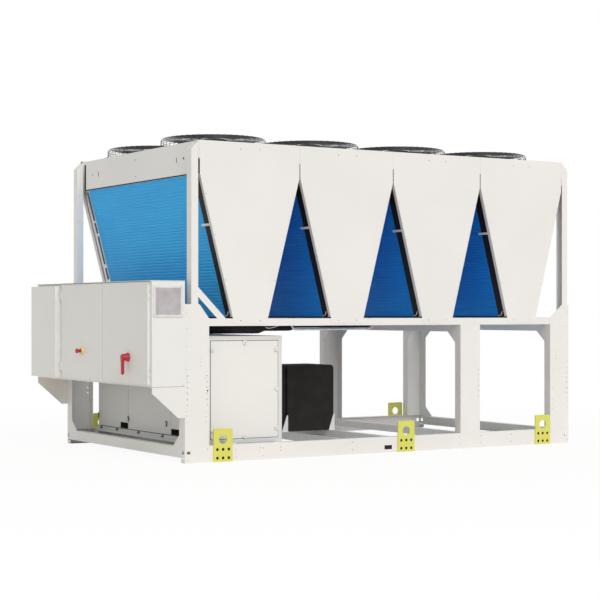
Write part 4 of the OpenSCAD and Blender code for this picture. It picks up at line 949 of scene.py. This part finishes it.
stage_mat = bpy.data.materials.new("studio_floor")
stage_mat.use_nodes = True
tree = stage_mat.node_tree
tree.nodes.clear()
out = tree.nodes.new("ShaderNodeOutputMaterial")
mix = tree.nodes.new("ShaderNodeMixShader")
plain = tree.nodes.new("ShaderNodeBsdfDiffuse")
plain.inputs["Color"].default_value = (0.96, 0.88, 0.79, 1)
glow = tree.nodes.new("ShaderNodeEmission")
glow.inputs["Color"].default_value = (1, 1, 1, 1)
glow.inputs["Strength"].default_value = 1.0
seen = background_rays(tree)
coords = tree.nodes.new("ShaderNodeTexCoord")
length = tree.nodes.new("ShaderNodeVectorMath")
length.operation = "LENGTH"
tree.links.new(coords.outputs["Object"], length.inputs[0])
fade = tree.nodes.new("ShaderNodeMapRange")
fade.inputs["From Min"].default_value = 2.0
fade.inputs["From Max"].default_value = 7.0
fade.inputs["To Min"].default_value = 0.94
fade.inputs["To Max"].default_value = 1.0
tree.links.new(length.outputs["Value"], fade.inputs["Value"])
share = tree.nodes.new("ShaderNodeMath")
share.operation = "MULTIPLY"
tree.links.new(seen, share.inputs[0])
tree.links.new(fade.outputs["Result"], share.inputs[1])
tree.links.new(share.outputs["Value"], mix.inputs["Fac"])
tree.links.new(plain.outputs["BSDF"], mix.inputs[1])
tree.links.new(glow.outputs["Emission"], mix.inputs[2])
tree.links.new(mix.outputs["Shader"], out.inputs["Surface"])
bm = bmesh.new()
size = 60
grid(bm, [[Vector((x, y, 0)) for y in (-size, 0, size)] for x in (-size, 0, size)])
mesh = bpy.data.meshes.new("floor")
bmesh.ops.recalc_face_normals(bm, faces=bm.faces)
bm.to_mesh(mesh)
bm.free()
mesh.materials.append(stage_mat)
floor = bpy.data.objects.new("floor", mesh)
bpy.context.scene.collection.objects.link(floor)

world = bpy.data.worlds.new("studio")
bpy.context.scene.world = world
world.use_nodes = True
tree = world.node_tree
tree.nodes.clear()
out = tree.nodes.new("ShaderNodeOutputWorld")
mix = tree.nodes.new("ShaderNodeMixShader")
ambient = tree.nodes.new("ShaderNodeBackground")
ambient.inputs["Color"].default_value = (0.965, 0.985, 1.0, 1)
ambient.inputs["Strength"].default_value = 0.575
white = tree.nodes.new("ShaderNodeBackground")
white.inputs["Color"].default_value = (1, 1, 1, 1)
white.inputs["Strength"].default_value = 1.0
tree.links.new(background_rays(tree), mix.inputs["Fac"])
tree.links.new(ambient.outputs["Background"], mix.inputs[1])
tree.links.new(white.outputs["Background"], mix.inputs[2])
tree.links.new(mix.outputs["Shader"], out.inputs["Surface"])

key = bpy.data.lights.new("key", "SUN")
key.energy = 1.25
key.angle = math.radians(35)
key.color = (0.98, 0.99, 1.0)
key_obj = bpy.data.objects.new("key", key)
bpy.context.scene.collection.objects.link(key_obj)
towards = Vector((-0.10, -0.85, 0.52)).normalized()
key_obj.rotation_euler = towards.to_track_quat("Z", "Y").to_euler()

# Camera at the photograph's angle

camera = bpy.data.cameras.new("camera")
camera.sensor_width = 36
camera.lens = 96.586
camera.shift_y = 0.0194
camera.clip_end = 200
camera_obj = bpy.data.objects.new("camera", camera)
bpy.context.scene.collection.objects.link(camera_obj)
camera_obj.location = at(-5763.588, -10892.270, 1155.555)
camera_obj.rotation_euler = (math.radians(90), 0, math.radians(-31.45934785))
bpy.context.scene.camera = camera_obj
bpy.context.scene.view_settings.view_transform = "Standard"
